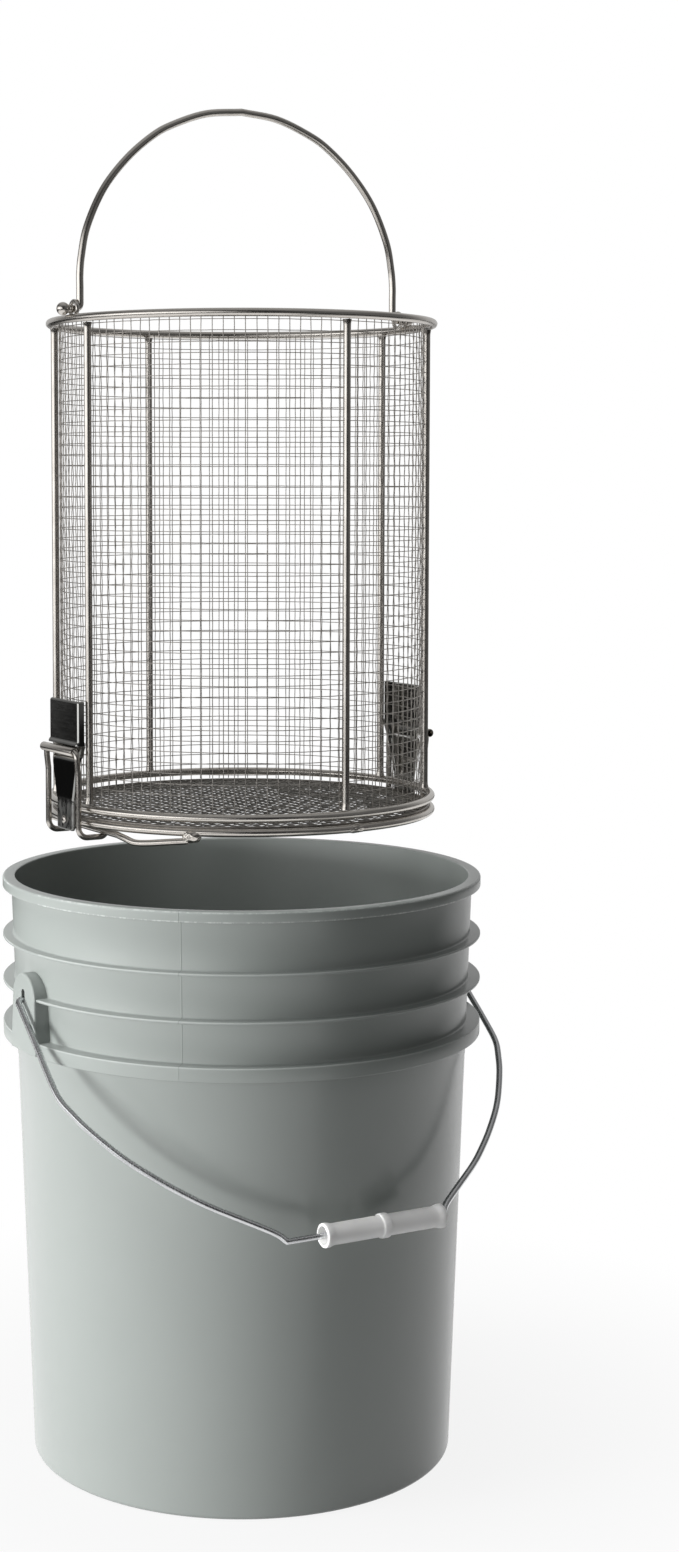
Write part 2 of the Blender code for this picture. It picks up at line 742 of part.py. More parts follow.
def loop_path():
    """The latch wire, from one wrap round the hinge rod to the other.  Origin on the rod."""
    wrap = PIN_WIRE + GAP + LOOP_WIRE
    bar = BAR_CENTRE - PIN_RADIUS
    leg = bar - LOOP_LEG_INSET
    top = BAR_HEIGHT - PIN_Z
    foot = arc((0, 0), wrap, -90 - LOOP_WRAP, -90, 7)
    foot = [Vector((x, 0, z)) for x, z in foot]
    upright = [foot[-1], (leg, 0, -wrap), (leg, 0, top * 0.72), (bar, 0, top * 0.90)]
    side = foot + rounded(upright, [LOOP_FOOT_BEND, LOOP_TOP_BEND])[1:]
    halves = []
    for width, bend in ((-LOOP_HALF_WIDTH, BAR_BORE), (LOOP_HALF_WIDTH, BAR_SETBACK)):
        leg_points = [Vector((p.x, width, p.z)) for p in side]
        corner = [leg_points[-1], (bar, width, top), (bar, 0, top)]
        halves.append(leg_points + rounded(corner, [bend])[1:-1])
    return halves[0] + halves[1][::-1]


def build_latches(door):
    """Each latch is a wire loop with a tube over its top, hinged on a rod under the door."""
    far = LOOP_HALF_WIDTH + BAR_OVERHANG
    near = LOOP_HALF_WIDTH - BAR_SETBACK
    tube = [(BAR_RADIUS, far), (BAR_RADIUS, -near), (BAR_BORE, -near), (BAR_BORE, far)]
    notch = (LOOP_WIRE + GAP) * NOTCH_EASE
    for side, sign in SIDES:
        turned = half_turn(sign)
        at = (sign * PIN_RADIUS, 0, PIN_Z)
        pivot = empty(f"latch_{side}_pivot", at, door)
        name = "latch_loop_" + side
        shape = wire_curve(name, loop_path(), LOOP_WIRE)
        piece(name, shape, STEEL, pivot, rotation=turned)

        name = "latch_bar_" + side
        middle = (sign * (BAR_CENTRE - PIN_RADIUS), 0, BAR_HEIGHT - PIN_Z)
        across = (math.pi / 2, 0, turned[2])
        shape = profile_mesh(name, tube, closed=True)
        bar = piece(name, shape, STEEL, pivot, middle, across)
        turn(bar, SMALL_ROUND)
        shape = cylinder_mesh("bar_notch", notch, -2 * BAR_RADIUS, 0, SMALL_ROUND)
        leg = (middle[0], -sign * LOOP_HALF_WIDTH, middle[2])
        combine(bar, cutter("bar_notch_" + side, shape, pivot, leg), "DIFFERENCE")


clear_scene()
PARTS = new_collection("pail_with_drop_bottom_basket")
CUTTERS = new_collection("construction")
build_pail()
build_bail()
BASKET = empty("basket_origin", (0, 0, DOOR_Z))
build_frame(BASKET)
build_hoop(BASKET)
build_catches(BASKET)
build_latches(build_door(BASKET))
finish_pieces()
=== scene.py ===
"""Looks of the pail with a drop-bottom wire basket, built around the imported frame."""

import json
import math
import random

import bmesh
import bpy
from mathutils import Matrix, Vector


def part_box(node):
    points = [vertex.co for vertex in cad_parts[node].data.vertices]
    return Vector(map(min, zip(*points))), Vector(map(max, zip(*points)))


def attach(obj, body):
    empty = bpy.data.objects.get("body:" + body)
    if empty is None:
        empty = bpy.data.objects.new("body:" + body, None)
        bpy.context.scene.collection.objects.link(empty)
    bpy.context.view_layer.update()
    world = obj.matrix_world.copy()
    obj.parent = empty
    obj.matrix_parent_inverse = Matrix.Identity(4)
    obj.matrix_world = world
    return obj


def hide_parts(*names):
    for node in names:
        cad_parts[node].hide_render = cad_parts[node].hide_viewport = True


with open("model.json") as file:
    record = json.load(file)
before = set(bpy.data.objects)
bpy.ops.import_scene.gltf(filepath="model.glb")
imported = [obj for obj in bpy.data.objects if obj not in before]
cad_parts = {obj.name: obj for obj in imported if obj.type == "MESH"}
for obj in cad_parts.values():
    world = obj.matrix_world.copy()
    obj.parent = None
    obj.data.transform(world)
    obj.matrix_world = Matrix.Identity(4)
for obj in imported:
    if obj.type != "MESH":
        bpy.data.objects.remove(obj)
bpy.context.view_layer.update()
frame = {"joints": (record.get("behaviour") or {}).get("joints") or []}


def centre(node):
    low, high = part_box(node)
    return (low + high) / 2


def half_size(node):
    low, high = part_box(node)
    return (high - low) / 2


def joint_place(name):
    joint = next(j for j in frame["joints"] if j["name"] == name)
    return Vector(joint["pos_m"])


# ---------------------------------------------------------------- sizes read from the frame
GAP = 0.0003  # the play in every joint
PAIL_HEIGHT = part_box("bucket")[1].z
FLANGE_RADIUS = half_size("bucket").y
EAR_FACE = half_size("bucket").x
EAR_Z = joint_place("bucket_bail_swing").z
GRIP_PLACE = joint_place("bail_grip_spin")
BAIL_REACH = math.hypot(GRIP_PLACE.y, GRIP_PLACE.z - EAR_Z)
BAIL_REST = math.atan2(EAR_Z - GRIP_PLACE.z, -GRIP_PLACE.y)
BAIL_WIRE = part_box("bucket_bail")[1].y
GRIP_LENGTH = 2 * half_size("bail_grip").x
GRIP_SHIFT = centre("bail_grip").x

RING_WIRE = half_size("top_ring").z
RING_RADIUS = half_size("top_ring").x - RING_WIRE
TOP_Z = centre("top_ring").z
BODY_Z = centre("body_ring").z
DOOR_Z = centre("door_ring").z
RODS = [f"upright_rod_{number}" for number in range(1, 7)]
ROD_WIRE = half_size(RODS[0]).y
ROD_CIRCLE = centre(RODS[0]).xy.length
DRUM_LOW, DRUM_HIGH = (corner.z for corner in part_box("drum_mesh"))
FLOOR_Z = centre("door_mesh").z
FLOOR_RADIUS = half_size("door_mesh").x

EYE_Z = joint_place("basket_bail_swing").z
EYE_X = centre("bail_eye_back").x
EYE_WIRE = half_size("bail_eye_back").x
EYE_RADIUS = half_size("bail_eye_back").z - EYE_WIRE
HOOP_WIRE = half_size("basket_bail").y
HOOP_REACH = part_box("basket_bail")[1].z - HOOP_WIRE - EYE_Z
BALL_RADIUS = half_size("bail_ball_back").y
BALL_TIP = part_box("bail_ball_back")[1].x
NECK_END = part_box("bail_ball_back")[0].x

PIN_PLACE = joint_place("latch_back_swing")
PIN_WIRE = 0.0020
BAR_CENTRE = centre("latch_bar_back").x
BAR_Z = centre("latch_bar_back").z
BAR_RADIUS = half_size("latch_bar_back").x
BAR_FAR, BAR_NEAR = (corner.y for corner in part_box("latch_bar_back"))
PLATE_LOW, PLATE_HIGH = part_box("catch_plate_back")

# ---------------------------------------------------------------- sizes the frame doesn't name
WALL_TOP_RADIUS = 0.1462
WALL_BASE_RADIUS = 0.1335
PAIL_WALL = 0.0025
PAIL_FLOOR = 0.0030
BASE_CORNER = 0.0030
FLANGE_WALL = 0.0022
RIM_THICKNESS = 0.0024
RIM_DROP = 0.0066
RIB_DEPTHS = (0.0363, 0.0645)
RIB_THICKNESS = 0.0018
SKIRT_DEPTH = 0.0915
SKIRT_DROP = 0.0088
WALL_STEP_DEPTH = 0.0128  # below the skirt: a faint step left by the mould
WALL_STEP = 0.00025
MOULD_SEAM = -133.0  # degrees about Z, with another seam opposite
MOULD_SEAM_DEPTH = 0.0990  # how far down from the rim they show
RIB_HIGHLIGHT = 0.22  # how pale a rib's painted highlight is, as a share of the rim's full mark of wear and painted highlight
EAR_HALF_WIDTH = 0.0160
EAR_FLARE = 0.0015
EAR_SOFTENING = 0.0013
EAR_SLOT_RISE = 0.0039
EAR_SLOT_BACK = 0.0008

BAIL_END_BEND = 0.0040
GRIP_SEAT = 0.0540
GRIP_RADIUS = 0.0064
GRIP_BORE = 0.0036
GRIP_MOUTH = 0.0053
GRIP_MOUTH_DEPTH = 0.0180
GRIP_BEAD = 0.0010
GRIP_FLARE = 0.0009

HOOP_INSET = 0.0041
HOOP_BEND = 0.0040
HOOP_NECK = 0.0027
HOOP_END_PLAY = 0.0009

WIRE_SIDES = 16  # faces round a thick wire
MESH_SIDES = 6  # and round a thin one
MESH_WIRE = 0.00027
MESH_CRIMP = 0.00019
BOTTOM_WIRE = 0.00038
HEM_WIRE = 0.0008
HEM_DROP = 0.0002
MESH_COUNT = 110  # upright wires around the drum
MESH_PITCH = 0.00650
MESH_START = 0.0008  # how far the drum's wires stay above its foot
MESH_LEAN = 0.00012  # how unevenly the wires lie, as standard deviations
MESH_DRIFT = 0.00010
MESH_JITTER = 0.00003
SEAM_ANGLE = 14.0  # where the mesh's ends lap, in degrees about Z
SEAM_WIRES = 3

PLATE_THICKNESS = 0.0011
PLATE_WAIST = 0.0172
PLATE_FOOT_HALF_WIDTH = 0.0115
LOOP_WIRE = 0.0018
LOOP_HALF_WIDTH = 0.0215
LOOP_LEG_INSET = 0.0010
LOOP_FOOT_BEND = 0.0060
LOOP_WRAP = 210.0
BAR_SETBACK = 0.0035
PIN_TAIL_ANGLE = 46.0
PIN_TAIL_SAG = 0.0030
PIN_TAIL_OUT = 0.0030
TAIL_WELD = (0.0030, 0.0058, 0.0038)  # half sizes of the bead at a hinge rod's tail
RING_WELD_ANGLE = -84.5
RING_WELD_SWELL = 1.14
RING_WELD_HALF_LENGTH = 0.0085
RING_STEPS = 160

SIDES = (("front", -1), ("back", 1))  # the front latch is the back one, a half turn on
chance = random.Random(7)


# ---------------------------------------------------------------- node helpers
def new_material(name):
    """A material with its Principled shader, as (material, tree, shader)."""
    made = bpy.data.materials.new(name)
    made.use_nodes = True
    tree = made.node_tree
    return made, tree, tree.nodes["Principled BSDF"]


def add(tree, kind, **settings):
    node = tree.nodes.new(kind)
    for key, value in settings.items():
        setattr(node, key, value)
    return node


def stretched(tree, scale, kind="Object"):
    """Coordinates (the row frame's, unless told otherwise), scaled along X, Y and Z."""
    place = add(tree, "ShaderNodeTexCoord")
    mapping = add(tree, "ShaderNodeMapping")
    mapping.inputs["Scale"].default_value = scale
    tree.links.new(place.outputs[kind], mapping.inputs["Vector"])
    return mapping.outputs["Vector"]


def noise(tree, scale, detail=3.0, stretch=(1, 1, 1), roughness=0.55):
    node = add(tree, "ShaderNodeTexNoise")
    node.inputs["Scale"].default_value = scale
    node.inputs["Detail"].default_value = detail
    node.inputs["Roughness"].default_value = roughness
    tree.links.new(stretched(tree, stretch), node.inputs["Vector"])
    return node.outputs["Fac"]


def ramp(tree, factor, *stops):
    """Colours or grey values along a factor; each stop is (place, value)."""
    node = add(tree, "ShaderNodeValToRGB")
    band = node.color_ramp
    while len(band.elements) < len(stops):
        band.elements.new(0.5)
    for element, (place, value) in zip(band.elements, stops):
        element.position = place
        rgb = value if isinstance(value, tuple) else (value, value, value)
        element.color = (*rgb, 1.0)
    tree.links.new(factor, node.inputs["Fac"])
    return node.outputs["Color"]


def math_node(tree, operation, a, b=None):
    node = add(tree, "ShaderNodeMath", operation=operation)
    for socket, value in zip(node.inputs, (a, b)):
        if value is None:
            continue
        if isinstance(value, (int, float)):
            socket.default_value = value
        else:
            tree.links.new(value, socket)
    return node.outputs[0]


def times(tree, product, *others):
    """The product of a socket and further sockets or numbers."""
    for value in others:
        product = math_node(tree, "MULTIPLY", product, value)
    return product


def mix_colour(tree, factor, a, b, blend="MIX"):
    node = add(tree, "ShaderNodeMix", data_type="RGBA", blend_type=blend)
    for name, value in (("Factor", factor), ("A", a), ("B", b)):
        sockets = [s for s in node.inputs if s.name == name and s.enabled]
        if isinstance(value, (int, float)):
            sockets[0].default_value = value
        elif isinstance(value, tuple):
            sockets[0].default_value = (*value, 1.0)
        else:
            tree.links.new(value, sockets[0])
    return next(s for s in node.outputs if s.enabled)


def bump(tree, shader, *layers):
    """Stack bumps; each layer is (height, depth in metres, strength)."""
    normal = None
    for height, depth, strength in layers:
        node = add(tree, "ShaderNodeBump")
        node.inputs["Strength"].default_value = strength
        node.inputs["Distance"].default_value = depth
        tree.links.new(height, node.inputs["Height"])
        if normal is not None:
            tree.links.new(normal, node.inputs["Normal"])
        normal = node.outputs["Normal"]
    tree.links.new(normal, shader.inputs["Normal"])


def vector_node(tree, operation, a, b=None):
    """Vector arithmetic on a socket and, where it takes two, a fixed vector."""
    node = add(tree, "ShaderNodeVectorMath", operation=operation)
    tree.links.new(a, node.inputs[0])
    if b is not None:
        node.inputs[1].default_value = b
    return node.outputs["Value" if operation in ("DOT_PRODUCT", "LENGTH") else "Vector"]


def along(tree, axis):
    """The row frame's X, Y or Z, in metres."""
    place = add(tree, "ShaderNodeTexCoord")
    split = add(tree, "ShaderNodeSeparateXYZ")
    tree.links.new(place.outputs["Object"], split.inputs["Vector"])
    return split.outputs[axis]


def radius_out(tree):
    """The distance from the row frame's Z axis, in metres."""
    return vector_node(tree, "LENGTH", stretched(tree, (1, 1, 0)))


def slope(tree, value, low, high):
    """0 below low, 1 above high and a straight rise between."""
    node = add(tree, "ShaderNodeMapRange")
    node.inputs["From Min"].default_value = low
    node.inputs["From Max"].default_value = high
    tree.links.new(value, node.inputs["Value"])
    return node.outputs["Result"]


# ---------------------------------------------------------------- materials
def lip_wear_and_highlights(tree, height):
    """Pale marks along the rim's outer edges, worn nicks and painted highlight in one, and a
    painted highlight line on each rib, clear of the ears.
    """
    brim = slope(tree, height, PAIL_HEIGHT - 0.0012, PAIL_HEIGHT - 0.0005)
    lip = PAIL_HEIGHT - RIM_DROP
    under = slope(tree, height, lip + 0.0011, lip + 0.0005)
    under = times(tree, under, slope(tree, height, lip - 0.0008, lip))
    # broken pale marks: worn nicks that also carry a painted highlight
    nicks_and_glints = ramp(tree, noise(tree, 240.0, 5.0, (1, 1, 0.4), 0.7), (0.46, 0.10), (0.60, 0.60))
    edges = times(tree, math_node(tree, "MAXIMUM", brim, under), nicks_and_glints)
    # a painted highlight along the top edge of each rib and of the skirt
    for top in (PAIL_HEIGHT - depth for depth in (*RIB_DEPTHS, SKIRT_DEPTH)):
        rising = slope(tree, height, top - 0.0010, top - 0.0005)
        falling = slope(tree, height, top + 0.0004, top + 0.0001)
        band = times(tree, rising, RIB_HIGHLIGHT, falling)
        edges = math_node(tree, "MAXIMUM", edges, band)
    outermost = slope(tree, radius_out(tree), FLANGE_RADIUS - 0.0007, FLANGE_RADIUS - 0.0001)
    off_ears = math_node(tree, "ABSOLUTE", along(tree, "Y"))
    ear_side = EAR_HALF_WIDTH + 0.0020
    off_ears = slope(tree, off_ears, ear_side, ear_side + 0.0010)
    return times(tree, edges, outermost, off_ears)


def mould_seam(tree, height):
    """A fine line down the outside of the ribbed part, where the mould's halves met."""
    seam = math.radians(MOULD_SEAM)
    across = (-math.sin(seam), math.cos(seam), 0)
    off = vector_node(tree, "DOT_PRODUCT", stretched(tree, (1, 1, 0)), across)
    line = slope(tree, math_node(tree, "ABSOLUTE", off), 0.0005, 0.0001)
    end = PAIL_HEIGHT - MOULD_SEAM_DEPTH
    high = slope(tree, height, end - 0.001, end + 0.001)
    taper = (WALL_TOP_RADIUS - WALL_BASE_RADIUS) / PAIL_HEIGHT
    depth = math_node(tree, "SUBTRACT", radius_out(tree), times(tree, height, taper))
    inner, outer = WALL_BASE_RADIUS - PAIL_WALL / 2, WALL_BASE_RADIUS - PAIL_WALL / 4
    outside = slope(tree, depth, inner, outer)
    return times(tree, line, high, outside)


def pail_plastic():
    """Grey moulded polyethylene: satin, faintly mottled, with a mould seam, rim edges pale with
    wear and painted highlight, and a painted highlight on each rib's edge.
    """
    made, tree, shader = new_material("pail_plastic")
    mottle = noise(tree, 9.0, 4.0)
    flow = noise(tree, 26.0, 3.0, (1, 1, 0.12))
    base = ramp(tree, mottle, (0.30, (0.274, 0.297, 0.284)), (0.72, (0.286, 0.309, 0.296)))
    streak = ramp(tree, flow, (0.35, 0.992), (0.70, 1.0))
    colour = mix_colour(tree, 1.0, base, streak, "MULTIPLY")
    height = along(tree, "Z")
    # pale rim and rib edges: wear nicks and painted highlight
    colour = mix_colour(tree, lip_wear_and_highlights(tree, height), colour, (0.66, 0.68, 0.67))
    seam = mould_seam(tree, height)
    colour = mix_colour(tree, times(tree, seam, 0.30), colour, (0.13, 0.15, 0.14))
    tree.links.new(colour, shader.inputs["Base Color"])
    rubs = noise(tree, 60.0, 6.0, (1, 1, 0.5), 0.65)
    tree.links.new(ramp(tree, rubs, (0.30, 0.22), (0.75, 0.26)), shader.inputs["Roughness"])
    shader.inputs["IOR"].default_value = 1.50
    shader.inputs["Subsurface Weight"].default_value = 0.04
    shader.inputs["Subsurface Radius"].default_value = (0.004, 0.004, 0.004)
    grain = noise(tree, 900.0, 2.0)
    waves = noise(tree, 14.0, 2.0, (1, 1, 0.35))
    bump(tree, shader, (waves, 0.0005, 0.12), (grain, 0.00002, 0.20), (seam, 0.0002, 0.5))
    return made


def wire_steel(name, colour, tint, roughness, streaks=(1, 1, 0.06)):
    """Drawn steel: fine streaks and a slightly uneven polish."""
    made, tree, shader = new_material(name)
    shader.inputs["Metallic"].default_value = 1.0
    patch = noise(tree, 70.0, 4.0)
    base = ramp(tree, patch, (0.28, tint), (0.66, colour))
    tree.links.new(base, shader.inputs["Base Color"])
    drawn = noise(tree, 1400.0, 3.0, streaks)
    low, high = roughness
    tree.links.new(ramp(tree, drawn, (0.30, low), (0.70, high)), shader.inputs["Roughness"])
    bump(tree, shader, (drawn, 0.00001, 0.05), (patch, 0.0002, 0.05))
    return made


def plate_steel():
    """Brushed stainless sheet."""
    made, tree, shader = new_material("stainless_sheet")
    shader.inputs["Metallic"].default_value = 1.0
    brushed = noise(tree, 900.0, 4.0, (1, 0.04, 1), 0.7)
    cloud = noise(tree, 55.0, 3.0)
    base = ramp(tree, cloud, (0.30, (0.34, 0.34, 0.33)), (0.70, (0.42, 0.42, 0.405)))
    tree.links.new(base, shader.inputs["Base Color"])
    rough = ramp(tree, brushed, (0.25, 0.05), (0.75, 0.09))
    foot = slope(tree, along(tree, "Z"), PLATE_LOW.z + 0.021, PLATE_LOW.z + 0.016)
    scraped = ramp(tree, noise(tree, 260.0, 4.0, (1, 1, 0.6)), (0.35, 0.22), (0.65, 0.42))
    rough = mix_colour(tree, foot, rough, scraped)
    tree.links.new(rough, shader.inputs["Roughness"])
    bump(tree, shader, (brushed, 0.00001, 0.10), (cloud, 0.0002, 0.10))
    return made


def grip_plastic():
    """Milky white polyethylene, a little grubby in its low places."""
    made, tree, shader = new_material("grip_plastic")
    grime = noise(tree, 120.0, 5.0, (0.5, 1, 1))
    base = ramp(tree, grime, (0.25, (0.93, 0.925, 0.91)), (0.55, (0.96, 0.96, 0.95)))
    tree.links.new(base, shader.inputs["Base Color"])
    tree.links.new(ramp(tree, grime, (0.3, 0.48), (0.7, 0.36)), shader.inputs["Roughness"])
    shader.inputs["Subsurface Weight"].default_value = 0.25
    shader.inputs["Subsurface Radius"].default_value = (0.003, 0.003, 0.0028)
    grain = noise(tree, 1100.0, 2.0)
    bump(tree, shader, (grain, 0.00005, 0.3))
    return made


PAIL = pail_plastic()
GRIP = grip_plastic()
GALVANISED = wire_steel(
    "galvanised_wire", (0.70, 0.71, 0.72), (0.58, 0.59, 0.60), (0.22, 0.30), (1, 1, 1)
)
STEEL = wire_steel("stainless_wire", (0.64, 0.61, 0.57), (0.52, 0.49, 0.455), (0.16, 0.28))
RING_STEEL = wire_steel(
    "stainless_ring", (0.69, 0.655, 0.61), (0.61, 0.58, 0.54), (0.22, 0.27), (1, 1, 1)
)
MESH_STEEL = wire_steel("stainless_mesh", (0.54, 0.51, 0.475), (0.36, 0.34, 0.315), (0.26, 0.40))
# the bottom's stainless is painted darker than the drum's: painted shade for the shadowed
# underside
SHADED_BOTTOM_STEEL = wire_steel("bottom_mesh_painted_shade", (0.42, 0.395, 0.365), (0.26, 0.245, 0.23), (0.30, 0.44))
SHEET = plate_steel()


# ---------------------------------------------------------------- shape helpers
def dress(piece, body, nodes, material):
    """Place a finished piece on its body, for the CAD nodes it stands for."""
    piece.data.materials.clear()
    piece.data.materials.append(material)
    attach(piece, body)
    if nodes:
        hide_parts(*nodes)


def new_object(name, data):
    made = bpy.data.objects.new(name, data)
    bpy.context.scene.collection.objects.link(made)
    return made


def shade(mesh, angle=35.0):
    mesh.shade_smooth()
    mesh.set_sharp_from_angle(angle=math.radians(angle))
    return mesh


def evaluated_mesh(item):
    """What an item's modifiers, or a curve's bevel, make of it."""
    bpy.context.view_layer.update()
    graph = bpy.context.evaluated_depsgraph_get()
    return bpy.data.meshes.new_from_object(item.evaluated_get(graph))


def apply_modifiers(item):
    mesh = evaluated_mesh(item)
    item.modifiers.clear()
    item.data = mesh


def turned(name, profile, steps, closed=False, matrix=None):
    """(radius, height) points, listed down the outer side, turned about Z."""
    mesh = bpy.data.meshes.new(name)
    edges = [(k, k + 1) for k in range(len(profile) - 1)]
    if closed:
        edges.append((len(profile) - 1, 0))
    mesh.from_pydata([(radius, 0, z) for radius, z in profile], edges, [])
    made = new_object(name, mesh)
    screw = made.modifiers.new("turn", "SCREW")
    screw.steps = steps
    screw.render_steps = steps
    screw.use_merge_vertices = True
    screw.merge_threshold = 0.00001
    apply_modifiers(made)
    bm = bmesh.new()
    bm.from_mesh(made.data)
    bmesh.ops.remove_doubles(bm, verts=bm.verts, dist=0.000002)
    bmesh.ops.recalc_face_normals(bm, faces=bm.faces)
    bm.to_mesh(made.data)
    bm.free()
    shade(made.data)
    if matrix is not None:
        made.data.transform(matrix)
    return made


def lofted(sections):
    """Closed cross-sections of the same number of points, joined and capped."""
    bm = bmesh.new()
    rings = [[bm.verts.new(point) for point in section] for section in sections]
    for low, high in zip(rings, rings[1:]):
        for k in range(len(low)):
            n = (k + 1) % len(low)
            bm.faces.new((low[k], low[n], high[n], high[k]))
    bm.faces.new(rings[0][::-1])
    bm.faces.new(rings[-1])
    bmesh.ops.recalc_face_normals(bm, faces=bm.faces)
    return bm


def mesh_from(name, bm):
    mesh = bpy.data.meshes.new(name)
    bm.to_mesh(mesh)
    bm.free()
    return mesh


def wire(name, points, radius, matrix=None):
    """A round wire through points, as a mesh with closed ends."""
    curve = bpy.data.curves.new(name, "CURVE")
    curve.dimensions = "3D"
    curve.bevel_depth = radius
    curve.bevel_resolution = WIRE_SIDES // 2 - 2
    curve.use_fill_caps = True
    path = curve.splines.new("POLY")
    path.points.add(len(points) - 1)
    for control, point in zip(path.points, points):
        control.co = (*point, 1)
    blank = new_object(name + "_path", curve)
    mesh = evaluated_mesh(blank)
    mesh.name = name
    bpy.data.objects.remove(blank, do_unlink=True)
    bpy.data.curves.remove(curve)
    bm = bmesh.new()
    bm.from_mesh(mesh)
    bmesh.ops.remove_doubles(bm, verts=bm.verts, dist=0.000005)
    bm.to_mesh(mesh)
    bm.free()
    if matrix is not None:
        mesh.transform(matrix)
    return new_object(name, shade(mesh))


def arc(middle, radius, first, last, steps):
    """(x, y) points on an arc, angles in degrees."""
    out = []
    for k in range(steps + 1):
        a = math.radians(first + (last - first) * k / steps)
        out.append((middle[0] + radius * math.cos(a), middle[1] + radius * math.sin(a)))
    return out


def rounded(points, bends, steps=8):
    """A polyline whose inner corners are rounded; bends holds one radius per corner."""
    points = [Vector(p) for p in points]
    out = [points[0]]
    for before, corner, after, bend in zip(points, points[1:], points[2:], bends):
        a = (before - corner).normalized()
        b = (after - corner).normalized()
        half = a.angle(b) / 2
        middle = corner + (a + b).normalized() * (bend / math.sin(half))
        start = corner + a * (bend / math.tan(half)) - middle
        end = corner + b * (bend / math.tan(half)) - middle
        axis, whole = start.rotation_difference(end).to_axis_angle()
        for k in range(steps + 1):
            out.append(middle + Matrix.Rotation(whole * k / steps, 3, axis) @ start)
    out.append(points[-1])
    return out


def smooth_path(points, steps=6):
    """A smooth curve through points (Catmull-Rom)."""
    points = [Vector(p) for p in points]
    padded = [points[0] * 2 - points[1]] + points + [points[-1] * 2 - points[-2]]
    out = []
    for a, b, c, d in zip(padded, padded[1:], padded[2:], padded[3:]):
        for k in range(steps):
            t = k / steps
            square = (2 * a - 5 * b + 4 * c - d) * t**2
            cube = (3 * b - a - 3 * c + d) * t**3
            out.append((2 * b + (c - a) * t + square + cube) / 2)
    out.append(points[-1])
    return out


def along_x(x, sign=1):
    """Turns a shape made about Z so that its Z runs along X, away from the axis."""
    turn = Matrix.Rotation(sign * math.pi / 2, 4, "Y")
    return Matrix.Translation((sign * x, 0, 0)) @ turn


def half_turn(sign):
    return Matrix.Identity(4) if sign > 0 else Matrix.Rotation(math.pi, 4, "Z")


# ---------------------------------------------------------------- the pail
def wall_radius(z):
    return WALL_BASE_RADIUS + (WALL_TOP_RADIUS - WALL_BASE_RADIUS) * z / PAIL_HEIGHT


def flange_edge(top, low, soften=0.0006):
    """The rounded outer edge of a flange, from its top to its underside."""
    upper = arc((FLANGE_RADIUS - soften, top - soften), soften, 90, 0, 4)
    lower = arc((FLANGE_RADIUS - soften, low + soften), soften, 0, -90, 4)
    return upper + lower


def fillet(z, radius, above):
    """A small inside corner between the wall and a flange that meets it at z."""
    out = []
    for k in range(4):
        a = math.radians(90 * k / 3)
        rise = radius * (1 - math.sin(a))
        run = radius * (1 - math.cos(a))
        height = z + rise if above else z - rise
        out.append((wall_radius(z) + run, height))
    return out if above else out[::-1]


def pail_profile():
    """From the middle of the floor up the inside, over the rim and down to the base."""
    corner = BASE_CORNER
    inner = wall_radius(PAIL_FLOOR + corner) - PAIL_WALL - corner
    foot = wall_radius(corner) - corner
    out = [(0.0, PAIL_FLOOR), (inner * 0.5, PAIL_FLOOR)]
    out += arc((inner, PAIL_FLOOR + corner), corner, -90, 0, 8)
    mouth = WALL_TOP_RADIUS - PAIL_WALL
    soft = 0.0009
    out += arc((mouth + soft, PAIL_HEIGHT - soft), soft, 180, 90, 5)
    lip = PAIL_HEIGHT - RIM_DROP
    out += arc((FLANGE_RADIUS - 0.0014, PAIL_HEIGHT - 0.0014), 0.0014, 90, 0, 6)
    out += arc((FLANGE_RADIUS - 0.0006, lip + 0.0006), 0.0006, 0, -90, 3)
    inside = FLANGE_RADIUS - FLANGE_WALL
    under = PAIL_HEIGHT - RIM_THICKNESS
    out += [(inside, lip), (inside, under)]
    out += fillet(under, 0.0006, above=False)
    for depth in RIB_DEPTHS:
        top = PAIL_HEIGHT - depth
        low = top - RIB_THICKNESS
        out += fillet(top, 0.0010, above=True)
        out += flange_edge(top, low)
        out += fillet(low, 0.0008, above=False)
    top = PAIL_HEIGHT - SKIRT_DEPTH
    low = top - SKIRT_DROP
    out += fillet(top, 0.0010, above=True)
    out += flange_edge(top, low)
    out += [(inside, low), (inside, top - FLANGE_WALL)]
    out += fillet(top - FLANGE_WALL, 0.0008, above=False)
    step = low - WALL_STEP_DEPTH
    out.append((wall_radius(step) + WALL_STEP, step + WALL_STEP))
    out.append((wall_radius(step), step - WALL_STEP))
    out += arc((foot, corner), corner, 0, -90, 8)
    out += [(foot * 0.5, 0.0), (0.0, 0.0)]
    return out


def ear_boss(sign):
    """The moulded ear: an arch around the pivot that runs down into the skirt."""
    low = PAIL_HEIGHT - SKIRT_DEPTH - SKIRT_DROP + 0.0012
    wide = EAR_HALF_WIDTH + EAR_FLARE
    arch = arc((0, EAR_Z), EAR_HALF_WIDTH, 0, 180, 36)
    outline = [(wide, low)] + arch + [(-wide, low)]
    sections = [[(sign * (wall_radius(z) - 0.7 * PAIL_WALL), y, z) for y, z in outline]]
    for k in range(6):
        a = math.radians(90 * k / 5)
        inset = EAR_SOFTENING * (1 - math.cos(a))
        x = EAR_FACE - EAR_SOFTENING * (1 - math.sin(a))
        section = []
        for y, z in outline:
            inward = Vector((-y, EAR_Z - z if z > EAR_Z else 0.0)).normalized()
            shift = inward * (inset if z > low else 0.0)
            section.append((sign * x, y + shift.x, z + shift.y))
        sections.append(section)
    return lofted(sections)


def ear_slot(sign):
    half = BAIL_WIRE + GAP
    outline = arc((0, EAR_Z + EAR_SLOT_RISE), half, 0, 180, 12)
    outline += arc((0, EAR_Z), half, 180, 360, 12)
    back = wall_radius(EAR_Z) + EAR_SLOT_BACK
    ends = (back, EAR_FACE + 0.002)
    return lofted([[(sign * x, y, z) for y, z in outline] for x in ends])


